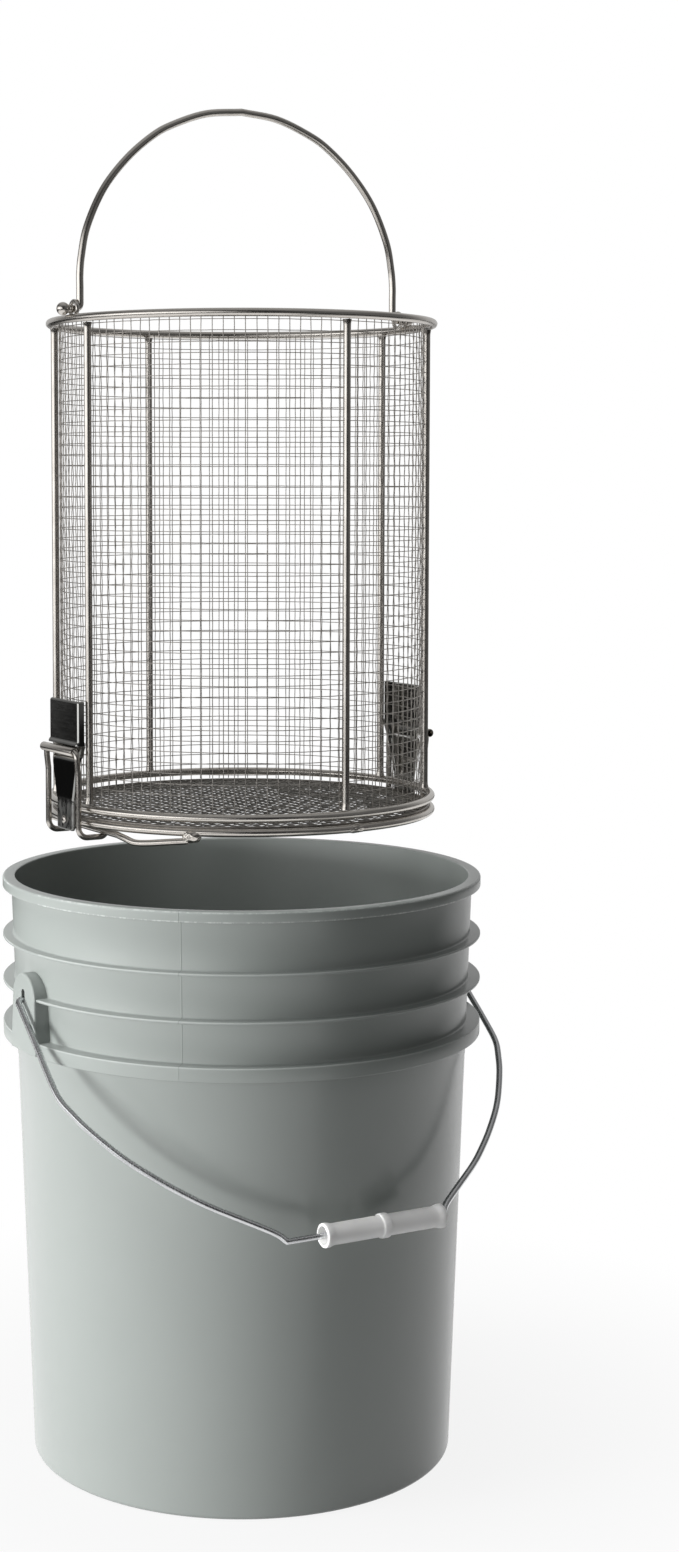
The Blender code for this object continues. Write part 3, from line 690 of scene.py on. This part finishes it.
def combine(target, bm, operation):
    tool = new_object("tool", mesh_from("tool", bm))
    modifier = target.modifiers.new("combine", "BOOLEAN")
    modifier.object = tool
    modifier.operation = operation
    modifier.solver = "EXACT"
    apply_modifiers(target)
    bpy.data.objects.remove(tool, do_unlink=True)


def build_pail():
    pail = turned("pail", pail_profile(), 192)
    for _, sign in SIDES:
        combine(pail, ear_boss(sign), "UNION")
        combine(pail, ear_slot(sign), "DIFFERENCE")
    shade(pail.data, 32.0)
    dress(pail, "bucket", ["bucket"], PAIL)


# ---------------------------------------------------------------- the pail's bail
def bail_side(span, reach):
    """One side of the bail as (x, reach), from above its end in the ear to the grip."""
    shares = (
        (1.000, 0.200), (1.002, 0.290), (0.998, 0.386), (0.970, 0.452),
        (0.928, 0.522), (0.844, 0.630), (0.748, 0.721), (0.659, 0.792),
        (0.584, 0.844), (0.471, 0.910),
    )
    side = [(span * x, reach * r) for x, r in shares]
    return side + [(GRIP_SEAT + 0.0052, reach * 0.965), (GRIP_SEAT, reach)]


def build_bail():
    outward = Vector((0, -math.cos(BAIL_REST), -math.sin(BAIL_REST)))
    span = EAR_FACE + BAIL_END_BEND
    end = wall_radius(EAR_Z) + EAR_SLOT_BACK + GAP
    side = smooth_path([(x, reach, 0) for x, reach in bail_side(span, BAIL_REACH)])
    half = rounded([(end, 0, 0), (span, 0, 0), side[0]], [BAIL_END_BEND])[:-1] + side
    flat = [(-x, reach) for x, reach, _ in half]
    flat += [(x, reach) for x, reach, _ in reversed(half)]
    pivot = Vector((0, 0, EAR_Z))
    points = [pivot + Vector((x, 0, 0)) + outward * reach for x, reach in flat]
    bail = wire("bail_wire", points, BAIL_WIRE)
    dress(bail, "bucket_bail", ["bucket_bail"], GALVANISED)


def grip_profile():
    """The tube grip, down its outside and back up its bore."""
    half = GRIP_LENGTH / 2
    wide = GRIP_RADIUS + GRIP_FLARE
    bead = GRIP_RADIUS + GRIP_BEAD
    upper = arc((wide - 0.0009, half - 0.0009), 0.0009, 90, 0, 4)
    upper += [
        (wide, half - 0.0026),
        (wide - 0.0002, half - 0.0036),
        (GRIP_RADIUS + 0.0002, half - 0.0052),
        (GRIP_RADIUS - 0.0001, half - 0.0066),
        (GRIP_RADIUS, half - 0.0110),
        (GRIP_RADIUS, half * 0.5),
        (GRIP_RADIUS, 0.0036),
        (GRIP_RADIUS + 0.0002, 0.0029),
        (bead - 0.0002, 0.0024),
        (bead, 0.0016),
    ]
    outside = upper + [(radius, -z) for radius, z in reversed(upper)]
    bore = [(GRIP_BORE, GRIP_MOUTH_DEPTH - half), (GRIP_BORE, half - GRIP_MOUTH_DEPTH)]
    shoulder = GRIP_MOUTH_DEPTH - 0.0040
    mouth = [(GRIP_MOUTH + 0.0003, 0.0), (GRIP_MOUTH, 0.0005), (GRIP_MOUTH, shoulder)]
    near = [(radius, depth - half) for radius, depth in mouth]
    far = [(radius, half - depth) for radius, depth in reversed(mouth)]
    return outside + near + bore + far


def build_grip():
    place = Matrix.Translation((GRIP_SHIFT, GRIP_PLACE.y, GRIP_PLACE.z))
    sideways = place @ Matrix.Rotation(math.pi / 2, 4, "Y")
    grip = turned("grip_tube", grip_profile(), 64, closed=True, matrix=sideways)
    dress(grip, "bail_grip", ["bail_grip"], GRIP)


# ---------------------------------------------------------------- rings, rods and welds
def torus(name, radius, wire_radius, segments, sides, matrix):
    bpy.ops.mesh.primitive_torus_add(
        major_segments=segments,
        minor_segments=sides,
        major_radius=radius,
        minor_radius=wire_radius,
    )
    made = bpy.context.object
    made.name = name
    made.data.transform(matrix)
    made.data.shade_smooth()
    return made


def rod_profile(low, high):
    """A rod whose ends swell into uneven weld fillets, from top to foot."""
    flare = ((0.0, 1.22), (0.0008, 1.18), (0.0016, 1.10), (0.0026, 1.03), (0.0042, 1.0))
    top = [(ROD_WIRE * share, high - drop) for drop, share in flare]
    foot = [(ROD_WIRE * share, low + drop) for drop, share in reversed(flare)]
    return [(0.0, high)] + top + foot + [(0.0, low)]


def build_frame():
    for node, z in (("top_ring", TOP_Z), ("body_ring", BODY_Z)):
        place = Matrix.Translation((0, 0, z))
        ring = torus(node + "_wire", RING_RADIUS, RING_WIRE, RING_STEPS, 20, place)
        dress(ring, "basket", [node], RING_STEEL)
    for number, node in enumerate(RODS, 1):
        low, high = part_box(node)
        place = Matrix.Translation(((low.x + high.x) / 2, (low.y + high.y) / 2, 0))
        profile = rod_profile(low.z, high.z)
        rod = turned(f"rod_{number}", profile, 20, matrix=place)
        dress(rod, "basket", [node], STEEL)


# ---------------------------------------------------------------- woven mesh
def tube_rows(bm, points, radius, cyclic):
    """Add one thin wire to bm."""
    count = len(points)
    rings = []
    for i, point in enumerate(points):
        before = points[i - 1] if cyclic or i else point
        after = points[(i + 1) % count] if cyclic or i < count - 1 else point
        ahead = (after - before).normalized()
        reference = Vector((0, 0, 1)) if abs(ahead.z) < 0.7 else Vector((1, 0, 0))
        side = ahead.cross(reference).normalized()
        other = ahead.cross(side)
        ring = []
        for k in range(MESH_SIDES):
            a = 2 * math.pi * k / MESH_SIDES
            offset = side * (radius * math.cos(a)) + other * (radius * math.sin(a))
            ring.append(bm.verts.new(point + offset))
        rings.append(ring)
    pairs = list(zip(rings, rings[1:]))
    if cyclic:
        pairs.append((rings[-1], rings[0]))
    for low, high in pairs:
        for k in range(MESH_SIDES):
            n = (k + 1) % MESH_SIDES
            bm.faces.new((low[k], low[n], high[n], high[k]))
    if not cyclic:
        bm.faces.new(rings[0][::-1])
        bm.faces.new(rings[-1])


def woven(name, wires, radius, cyclic=False):
    bm = bmesh.new()
    for points in wires:
        tube_rows(bm, points, radius, cyclic)
    bmesh.ops.recalc_face_normals(bm, faces=bm.faces)
    mesh = mesh_from(name, bm)
    mesh.shade_smooth()
    return new_object(name, mesh)


def drum_wires():
    """The drum's weave: upright wires and round wires that pass over and under."""
    middle = ROD_CIRCLE - ROD_WIRE - 2 * MESH_WIRE - 0.0001
    low = DRUM_LOW + MESH_START
    first = low + 0.5 * MESH_PITCH
    rows = int((DRUM_HIGH - first) / MESH_PITCH) + 1
    uprights, rounds = [], []
    for i in range(MESH_COUNT):
        lean = chance.gauss(0, MESH_LEAN)
        angle = 2 * math.pi * i / MESH_COUNT
        points = []
        for step in range(2 * rows + 2):
            z = min(low + step * MESH_PITCH / 2, DRUM_HIGH)
            wave = math.cos(math.pi * (z - first) / MESH_PITCH) * (-1) ** i
            radius = middle + MESH_CRIMP * wave
            a = angle + (lean + chance.gauss(0, MESH_JITTER)) / middle
            points.append(Vector((radius * math.cos(a), radius * math.sin(a), z)))
        uprights.append(points)
    for j in range(rows):
        drift = chance.gauss(0, MESH_DRIFT)
        points = []
        for step in range(2 * MESH_COUNT):
            a = math.pi * step / MESH_COUNT
            wave = -math.cos(MESH_COUNT * a / 2) * (-1) ** j
            radius = middle + MESH_CRIMP * wave
            z = first + j * MESH_PITCH + drift + chance.gauss(0, MESH_JITTER)
            points.append(Vector((radius * math.cos(a), radius * math.sin(a), z)))
        rounds.append(points)
    return uprights, rounds


def seam_wires():
    """Where the sheet's ends lap: a few doubled uprights just inside the drum."""
    inside = ROD_CIRCLE - ROD_WIRE - 4.6 * MESH_WIRE
    out = []
    for i in range(SEAM_WIRES):
        a = math.radians(SEAM_ANGLE) + (i + 0.42) * 2 * math.pi / MESH_COUNT
        foot = Vector((inside * math.cos(a), inside * math.sin(a), DRUM_LOW + MESH_START))
        rise = (DRUM_HIGH - DRUM_LOW - MESH_START) / 40
        out.append([foot + Vector((0, 0, rise * k)) for k in range(41)])
    return out


def floor_wires():
    """The bottom's weave, cut to a disc."""
    out = {"x": [], "y": []}
    count = int(FLOOR_RADIUS / MESH_PITCH)
    wave_height = 0.7 * BOTTOM_WIRE
    for across in range(-count, count + 1):
        offset = across * MESH_PITCH
        reach = math.sqrt(max(FLOOR_RADIUS**2 - offset**2, 0.0)) - 0.0004
        steps = max(2, int(2 * reach / (MESH_PITCH / 2)))
        for key, sense in (("x", 1), ("y", -1)):
            points = []
            for k in range(steps + 1):
                run = -reach + 2 * reach * k / steps
                wave = math.cos(math.pi * run / MESH_PITCH) * (-1) ** across
                z = FLOOR_Z + sense * wave_height * wave
                points.append(Vector((run, offset, z) if key == "x" else (offset, run, z)))
            out[key].append(points)
    return out


def build_mesh():
    uprights, rounds = drum_wires()
    piece = woven("drum_upright_wires", uprights + seam_wires(), MESH_WIRE)
    dress(piece, "basket", ["drum_mesh"], MESH_STEEL)
    piece = woven("drum_round_wires", rounds, MESH_WIRE, cyclic=True)
    dress(piece, "basket", ["drum_mesh"], MESH_STEEL)
    for key, wires in floor_wires().items():
        piece = woven(f"bottom_wires_{key}", wires, BOTTOM_WIRE)
        dress(piece, "bottom_door", ["door_mesh"], SHADED_BOTTOM_STEEL)
    place = Matrix.Translation((0, 0, FLOOR_Z - HEM_DROP))
    hem = torus("bottom_hem", FLOOR_RADIUS - HEM_WIRE, HEM_WIRE, RING_STEPS, 10, place)
    dress(hem, "bottom_door", ["door_mesh"], SHADED_BOTTOM_STEEL)


# ---------------------------------------------------------------- the basket's hoop
def hoop_side(span, reach):
    """One side of the hoop as (x, height), from above its eye to the top."""
    shares = (
        (1.000, 0.110), (1.000, 0.170), (0.990, 0.260), (0.955, 0.400), (0.858, 0.580),
        (0.718, 0.732), (0.562, 0.849), (0.430, 0.914), (0.225, 0.978), (0.0, 1.0),
    )
    return [(span * x, reach * z) for x, z in shares]


def build_hoop():
    span = EYE_X - HOOP_INSET
    end = EYE_X + EYE_WIRE + HOOP_END_PLAY
    side = smooth_path([(x, 0, z) for x, z in hoop_side(span, HOOP_REACH)])
    half = rounded([(end, 0, 0), (span, 0, 0), side[0]], [HOOP_BEND])[:-1] + side
    lift = Vector((0, 0, EYE_Z))
    points = [lift + Vector((-x, 0, z)) for x, _, z in half[:-1]]
    points += [lift + Vector((x, 0, z)) for x, _, z in reversed(half)]
    hoop = wire("hoop_wire", points, HOOP_WIRE)
    dress(hoop, "basket_bail", ["basket_bail"], RING_STEEL)

    middle = BALL_TIP - BALL_RADIUS
    opening = math.degrees(math.asin(HOOP_NECK / BALL_RADIUS))
    ball = arc((0, middle), BALL_RADIUS, 90, opening - 90, 24)
    profile = [(0.0, middle + BALL_RADIUS)] + ball[1:]
    profile += [(HOOP_NECK * 0.94, middle - BALL_RADIUS), (HOOP_NECK, NECK_END + 0.0006)]
    profile += [(HOOP_NECK * 0.9, NECK_END), (0.0, NECK_END)]
    for side_name, sign in SIDES:
        place = Matrix.Translation((0, 0, EYE_Z)) @ along_x(0, sign)
        node = "bail_ball_" + side_name
        knob = turned("knob_" + side_name, profile, 40, matrix=place)
        dress(knob, "basket_bail", [node], RING_STEEL)
        place = Matrix.Translation((0, 0, EYE_Z)) @ along_x(EYE_X, sign)
        node = "bail_eye_" + side_name
        eye = torus("eye_" + side_name, EYE_RADIUS, EYE_WIRE, 40, 14, place)
        dress(eye, "basket", [node], RING_STEEL)


# ---------------------------------------------------------------- catch plates
def plate_section(z, face, half, flange, bend=0.0015):
    """One level of the plate: a channel with rounded bends that opens to the basket."""
    t = PLATE_THICKNESS
    flange = max(flange, bend + 0.0002)
    left, right = (face - bend, -half + bend), (face - bend, half - bend)
    outer = arc(left, bend, -90, 0, 5) + arc(right, bend, 0, 90, 5)
    inner = arc(right, bend - t, 90, 0, 5) + arc(left, bend - t, 0, -90, 5)
    flat = [(face - flange, -half)] + outer + [(face - flange, half)]
    flat += [(face - flange, half - t)] + inner + [(face - flange, -half + t)]
    return [(x, y, z) for x, y in flat]


def plate_levels():
    """(height, outer face, half width, flange) from the plate's foot to its top."""
    face = RING_RADIUS + RING_WIRE + GAP + PLATE_THICKNESS
    raised, lip = face + 0.0004, face + 0.0016
    seat = BAR_CENTRE - BAR_RADIUS - GAP
    low, high = BAR_Z - BAR_RADIUS, BAR_Z + BAR_RADIUS
    neck = BODY_Z + RING_WIRE
    stub = PLATE_THICKNESS + GAP
    foot, waist = PLATE_FOOT_HALF_WIDTH, PLATE_WAIST
    full, tuck = PLATE_HIGH.y, 0.0042
    start, top = PLATE_LOW.z, PLATE_HIGH.z
    return [
        (start, face - 0.0003, foot - 0.0022, stub),
        (start + 0.0005, face, foot - 0.0010, stub),
        (start + 0.0015, face, foot, stub),
        (neck + 0.0010, face, foot, stub),
        (neck + 0.0020, face + 0.0001, foot + 0.0002, stub + 0.0001),
        (neck + 0.0034, face + 0.0003, foot + 0.0007, stub + 0.0003),
        (low - 0.0060, face + 0.0003, waist, tuck * 0.7),
        (low - 0.0030, face + 0.0003, waist, tuck * 0.8),
        (low - 0.0020, face + 0.0001, waist, tuck * 0.8),
        (low - 0.0010, seat + 0.0002, waist, tuck * 0.8),
        (low, seat, waist, tuck * 0.8),
        (high - 0.0010, seat, full - 0.0010, tuck * 0.8),
        (high + 0.0004, seat + 0.0003, full - 0.0003, tuck * 0.9),
        (high + 0.0008, lip - 0.0003, full, tuck + 0.0014),
        (high + 0.0011, lip, full, tuck + 0.0016),
        (high + 0.0019, lip, full, tuck + 0.0016),
        (high + 0.0027, lip - 0.0005, full, tuck + 0.0010),
        (high + 0.0036, raised, full, tuck),
        (top - 0.0013, raised, full, tuck),
        (top - 0.0005, raised - 0.0002, full - 0.0004, tuck),
        (top, raised - 0.0006, full - 0.0012, tuck - 0.0005),
    ]


def build_catches():
    low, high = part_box("plate_rivet_back")
    radius, rise = (high.z - low.z) / 2, high.x - low.x
    dome = [(r * radius, z * rise) for r, z in arc((0, 0), 1.0, 90, 0, 8)]
    dome = [(0.0, rise)] + dome[1:] + [(0.0, 0.0)]
    for side, sign in SIDES:
        mesh = mesh_from("catch", lofted([plate_section(*level) for level in plate_levels()]))
        mesh.transform(half_turn(sign))
        plate = new_object("catch_" + side, shade(mesh, 40.0))
        even = plate.modifiers.new("even", "WEIGHTED_NORMAL")
        even.weight = 100
        even.keep_sharp = True
        apply_modifiers(plate)
        dress(plate, "basket", ["catch_plate_" + side], SHEET)
        place = Matrix.Translation((0, 0, centre("plate_rivet_back").z)) @ along_x(low.x, sign)
        rivet = turned("rivet_" + side, dome, 32, matrix=place)
        dress(rivet, "basket", ["plate_rivet_" + side], STEEL)


# ---------------------------------------------------------------- the drop-out bottom
def hinge_rod_path():
    """Across under the door ring as a chord, then on below the ring as a tail."""
    pin, z = PIN_PLACE.x, PIN_PLACE.z
    cross = math.acos(pin / RING_RADIUS)
    last = math.radians(PIN_TAIL_ANGLE)
    reach = RING_RADIUS * math.sin(cross)
    tail = [(pin, reach * 0.96, z)]
    bumps = ((0.14, 0.6, 0.45), (0.30, 1.0, 1.0), (0.50, 1.0, 0.85), (0.75, 0.7, 0.45))
    for share, out, sag in (*bumps, (1.00, 0.4, 0.10)):
        a = cross + (last - cross) * share
        r = RING_RADIUS + PIN_TAIL_OUT * out
        tail.append((r * math.cos(a), r * math.sin(a), z - PIN_TAIL_SAG * sag))
    return [Vector((pin, -reach, z)), Vector((pin, 0, z))] + smooth_path(tail)


def weld(name, place, half_sizes):
    """A lumpy bead of weld, half_sizes along its own axes."""
    bm = bmesh.new()
    bmesh.ops.create_icosphere(bm, subdivisions=4, radius=1.0)
    for vert in bm.verts:
        x, y, z = vert.co
        lump = math.sin(5 * x + 2 * z) * math.sin(7 * y + 3 * x) * math.cos(6 * z - 2 * y)
        vert.co *= 1 + 0.10 * lump
    bmesh.ops.scale(bm, vec=half_sizes, verts=bm.verts)
    bmesh.ops.transform(bm, matrix=place, verts=bm.verts)
    mesh = mesh_from(name, bm)
    mesh.shade_smooth()
    return new_object(name, mesh)


def build_door_welds():
    """The bead at each hinge rod's tail, and the door ring's own butt weld."""
    for side, sign in SIDES:
        turn = half_turn(sign) @ Matrix.Rotation(math.radians(PIN_TAIL_ANGLE + 1.0), 4, "Z")
        place = turn @ Matrix.Translation((RING_RADIUS + 0.0012, 0, (PIN_PLACE.z + DOOR_Z) / 2))
        bead = weld("tail_weld_" + side, place, TAIL_WELD)
        dress(bead, "bottom_door", [], RING_STEEL)
    turn = Matrix.Rotation(math.radians(RING_WELD_ANGLE), 4, "Z")
    place = turn @ Matrix.Translation((RING_RADIUS, 0, DOOR_Z))
    swell = RING_WIRE * RING_WELD_SWELL
    bead = weld("ring_weld", place, (swell, RING_WELD_HALF_LENGTH, swell))
    dress(bead, "bottom_door", [], RING_STEEL)


def build_door():
    place = Matrix.Translation((0, 0, DOOR_Z))
    ring = torus("door_ring_wire", RING_RADIUS, RING_WIRE, RING_STEPS, 20, place)
    dress(ring, "bottom_door", ["door_ring"], RING_STEEL)
    for side, sign in SIDES:
        rod = wire("hinge_" + side, hinge_rod_path(), PIN_WIRE, matrix=half_turn(sign))
        dress(rod, "bottom_door", ["hinge_rod_" + side], RING_STEEL)


# ---------------------------------------------------------------- latches
def loop_path():
    """The latch wire, from one wrap round the hinge rod to the other."""
    origin = PIN_PLACE
    wrap = PIN_WIRE + GAP + LOOP_WIRE
    bar = BAR_CENTRE - origin.x
    leg = bar - LOOP_LEG_INSET
    top = BAR_Z - origin.z
    foot = [Vector((x, 0, z)) for x, z in arc((0, 0), wrap, -90 - LOOP_WRAP, -90, 20)]
    upright = [foot[-1], (leg, 0, -wrap), (leg, 0, top * 0.72), (bar, 0, top * 0.90)]
    side = foot + rounded(upright, [LOOP_FOOT_BEND, 0.02])[1:]
    halves = []
    for width, bend in ((-LOOP_HALF_WIDTH, 0.0021), (LOOP_HALF_WIDTH, BAR_SETBACK)):
        points = [Vector((p.x, width, p.z)) for p in side]
        corner = [points[-1], (bar, width, top), (bar, 0, top)]
        halves.append(points + rounded(corner, [bend])[1:-1])
    return [origin + p for p in halves[0] + halves[1][::-1]]


def build_latches():
    bore = LOOP_WIRE + GAP / 2
    near, far = BAR_NEAR, -BAR_FAR
    soft = 0.0003
    tube = arc((BAR_RADIUS - soft, far - soft), soft, 90, 0, 3)
    tube += arc((BAR_RADIUS - soft, -near + soft), soft, 0, -90, 3)
    tube += [(bore, -near), (bore, far)]
    for side, sign in SIDES:
        body = "latch_" + side
        loop = wire("loop_" + side, loop_path(), LOOP_WIRE, matrix=half_turn(sign))
        dress(loop, body, ["latch_loop_" + side], STEEL)
        across = Matrix.Rotation(math.pi / 2, 4, "X")
        place = half_turn(sign) @ Matrix.Translation((BAR_CENTRE, 0, BAR_Z)) @ across
        bar = turned("bar_" + side, tube, 40, closed=True, matrix=place)
        dress(bar, body, ["latch_bar_" + side], RING_STEEL)


# ---------------------------------------------------------------- studio
CAMERA_BEARING = math.radians(-119.0)
CAMERA_DISTANCE = 1.562
CAMERA_RISE = 0.2495  # above the pail's rim
CAMERA_PITCH = math.radians(4.55)
SENSOR = 24.0
LENS = 38.30
SHIFT = (0.0631, -0.0651)
KEY_HEIGHT = 0.33  # what both lamps point at, on the object's axis
FLOOR_REACH = 6.0


def bearing(degrees):
    """A level direction, measured from the camera's side of the object to its right."""
    a = CAMERA_BEARING + math.radians(degrees)
    return Vector((math.cos(a), math.sin(a), 0))


def build_camera():
    data = bpy.data.cameras.new("camera")
    data.sensor_fit = "VERTICAL"
    data.sensor_height = SENSOR
    data.lens = LENS
    data.shift_x, data.shift_y = SHIFT
    camera = new_object("camera", data)
    camera.location = bearing(0) * CAMERA_DISTANCE + Vector((0, 0, PAIL_HEIGHT + CAMERA_RISE))
    look = -bearing(0) * math.cos(CAMERA_PITCH) - Vector((0, 0, math.sin(CAMERA_PITCH)))
    camera.rotation_euler = look.to_track_quat("-Z", "Y").to_euler()
    bpy.context.scene.camera = camera


def area_lamp(name, place, size, power):
    """A soft box that reflections don't show: the surroundings and the floor do that."""
    data = bpy.data.lights.new(name, "AREA")
    data.shape = "RECTANGLE"
    data.size, data.size_y = size
    data.energy = power
    lamp = new_object(name, data)
    lamp.location = place
    aim = Vector((0, 0, KEY_HEIGHT))
    lamp.rotation_euler = (aim - place).to_track_quat("-Z", "Y").to_euler()
    lamp.visible_glossy = False


def build_lamps():
    """A low soft key on the left, level with the rim, and a lamp high above it."""
    area_lamp("key", bearing(-66) * 1.7 + Vector((0, 0, KEY_HEIGHT)), (0.80, 0.30), 35.5)
    area_lamp("overhead", bearing(-68) * 1.0 + Vector((0, 0, 2.1)), (0.80, 0.80), 26)


def lobe(tree, direction, towards, width, strength):
    """A soft patch of light in the surroundings, width degrees from its middle to its edge."""
    dot = vector_node(tree, "DOT_PRODUCT", direction, towards.normalized())
    patch = add(tree, "ShaderNodeMapRange", interpolation_type="SMOOTHSTEP")
    patch.inputs["From Min"].default_value = math.cos(math.radians(width))
    patch.inputs["From Max"].default_value = 1.0
    patch.inputs["To Max"].default_value = strength
    tree.links.new(dot, patch.inputs["Value"])
    return patch.outputs["Result"]


def build_world():
    """White to the camera; to the object, soft boxes on the left, behind, right and above."""
    world = bpy.data.worlds.new("studio")
    bpy.context.scene.world = world
    world.use_nodes = True
    tree = world.node_tree
    tree.nodes.clear()
    direction = stretched(tree, (1, 1, 1), "Generated")
    # lobes by this one come out wider than they are high
    level = vector_node(tree, "NORMALIZE", stretched(tree, (1, 1, 2.6), "Generated"))
    total = 0.01
    for seen_from, towards, width, strength in (
        (direction, bearing(180) + Vector((0, 0, 0.10)), 70, 0.60),
        (level, bearing(-58), 66, 2.1),
        (direction, bearing(85), 80, 0.13),
        (direction, Vector((0, 0, 1)), 62, 0.36),
    ):
        total = math_node(tree, "ADD", lobe(tree, seen_from, towards, width, strength), total)
    rays = add(tree, "ShaderNodeLightPath")
    seen = add(tree, "ShaderNodeMix", data_type="FLOAT")
    tree.links.new(rays.outputs["Is Camera Ray"], seen.inputs[0])
    tree.links.new(total, seen.inputs[2])
    seen.inputs[3].default_value = 1.0
    light = add(tree, "ShaderNodeBackground")
    light.inputs["Color"].default_value = (1, 1, 1, 1)
    tree.links.new(seen.outputs[0], light.inputs["Strength"])
    out = add(tree, "ShaderNodeOutputWorld")
    tree.links.new(light.outputs[0], out.inputs["Surface"])


def floor_glow(tree, where, far):
    """How white reflections see the floor; far is a share of FLOOR_REACH."""
    outward = vector_node(tree, "SUBTRACT", where, bearing(-45) * 0.3)
    outward = vector_node(tree, "NORMALIZE", outward)
    behind = vector_node(tree, "DOT_PRODUCT", outward, bearing(165))
    behind = ramp(tree, behind, (0.0, 0.0), (0.55, 1.0))
    left = vector_node(tree, "SUBTRACT", where, bearing(21) * 0.14)
    left = vector_node(tree, "DOT_PRODUCT", left, bearing(-47))
    left = ramp(tree, math_node(tree, "ADD", left, 0.5), (0.48, 0.0), (0.53, 1.0))
    close = ramp(tree, far, (0.16, 1.0), (0.30, 0.0))
    near = times(tree, math_node(tree, "MAXIMUM", behind, left), close)
    beyond = vector_node(tree, "DOT_PRODUCT", outward, bearing(148))
    beyond = ramp(tree, beyond, (0.78, 0.0), (0.93, 0.8))
    distant = ramp(tree, far, (0.40, 1.0), (0.65, 0.0))
    return math_node(tree, "MAXIMUM", near, times(tree, beyond, distant))


def build_floor():
    """A pale floor that the camera sees turn plain white away from the object; far out its own
    colour darkens, as painted shade.
    """
    bpy.ops.mesh.primitive_circle_add(vertices=96, radius=FLOOR_REACH, fill_type="NGON")
    floor = bpy.context.object
    floor.name = "floor"
    made, tree, shader = new_material("floor")
    where = add(tree, "ShaderNodeTexCoord").outputs["Object"]
    far = times(tree, vector_node(tree, "LENGTH", where), 1 / FLOOR_REACH)
    grain = noise(tree, 40.0, 3.0)
    near = ramp(tree, grain, (0.3, (0.46, 0.46, 0.46)), (0.7, (0.48, 0.48, 0.48)))
    # the floor's colour darkens away from the object: painted shade for the unlit far floor,
    # which lamps and reflections see
    painted_far_shade = ramp(tree, far, (0.12, 1.0), (0.28, 0.06))
    tree.links.new(mix_colour(tree, 1.0, near, painted_far_shade, "MULTIPLY"), shader.inputs["Base Color"])
    shader.inputs["Roughness"].default_value = 0.8
    shader.inputs["Specular IOR Level"].default_value = 0.0
    rays = add(tree, "ShaderNodeLightPath")
    plain = ramp(tree, far, (0.026, 0.88), (0.08, 1.0))
    seen = times(tree, plain, rays.outputs["Is Camera Ray"])
    glossy = times(tree, floor_glow(tree, where, far), rays.outputs["Is Glossy Ray"])
    mix = add(tree, "ShaderNodeMixShader")
    tree.links.new(math_node(tree, "MAXIMUM", seen, glossy), mix.inputs["Fac"])
    tree.links.new(shader.outputs[0], mix.inputs[1])
    tree.links.new(add(tree, "ShaderNodeEmission").outputs[0], mix.inputs[2])
    tree.links.new(mix.outputs[0], tree.nodes["Material Output"].inputs["Surface"])
    floor.data.materials.append(made)


build_camera()
build_pail()
build_bail()
build_grip()
build_frame()
build_mesh()
build_hoop()
build_catches()
build_door()
build_door_welds()
build_latches()
build_world()
build_floor()
build_lamps()
bpy.context.scene.view_settings.view_transform = "Standard"
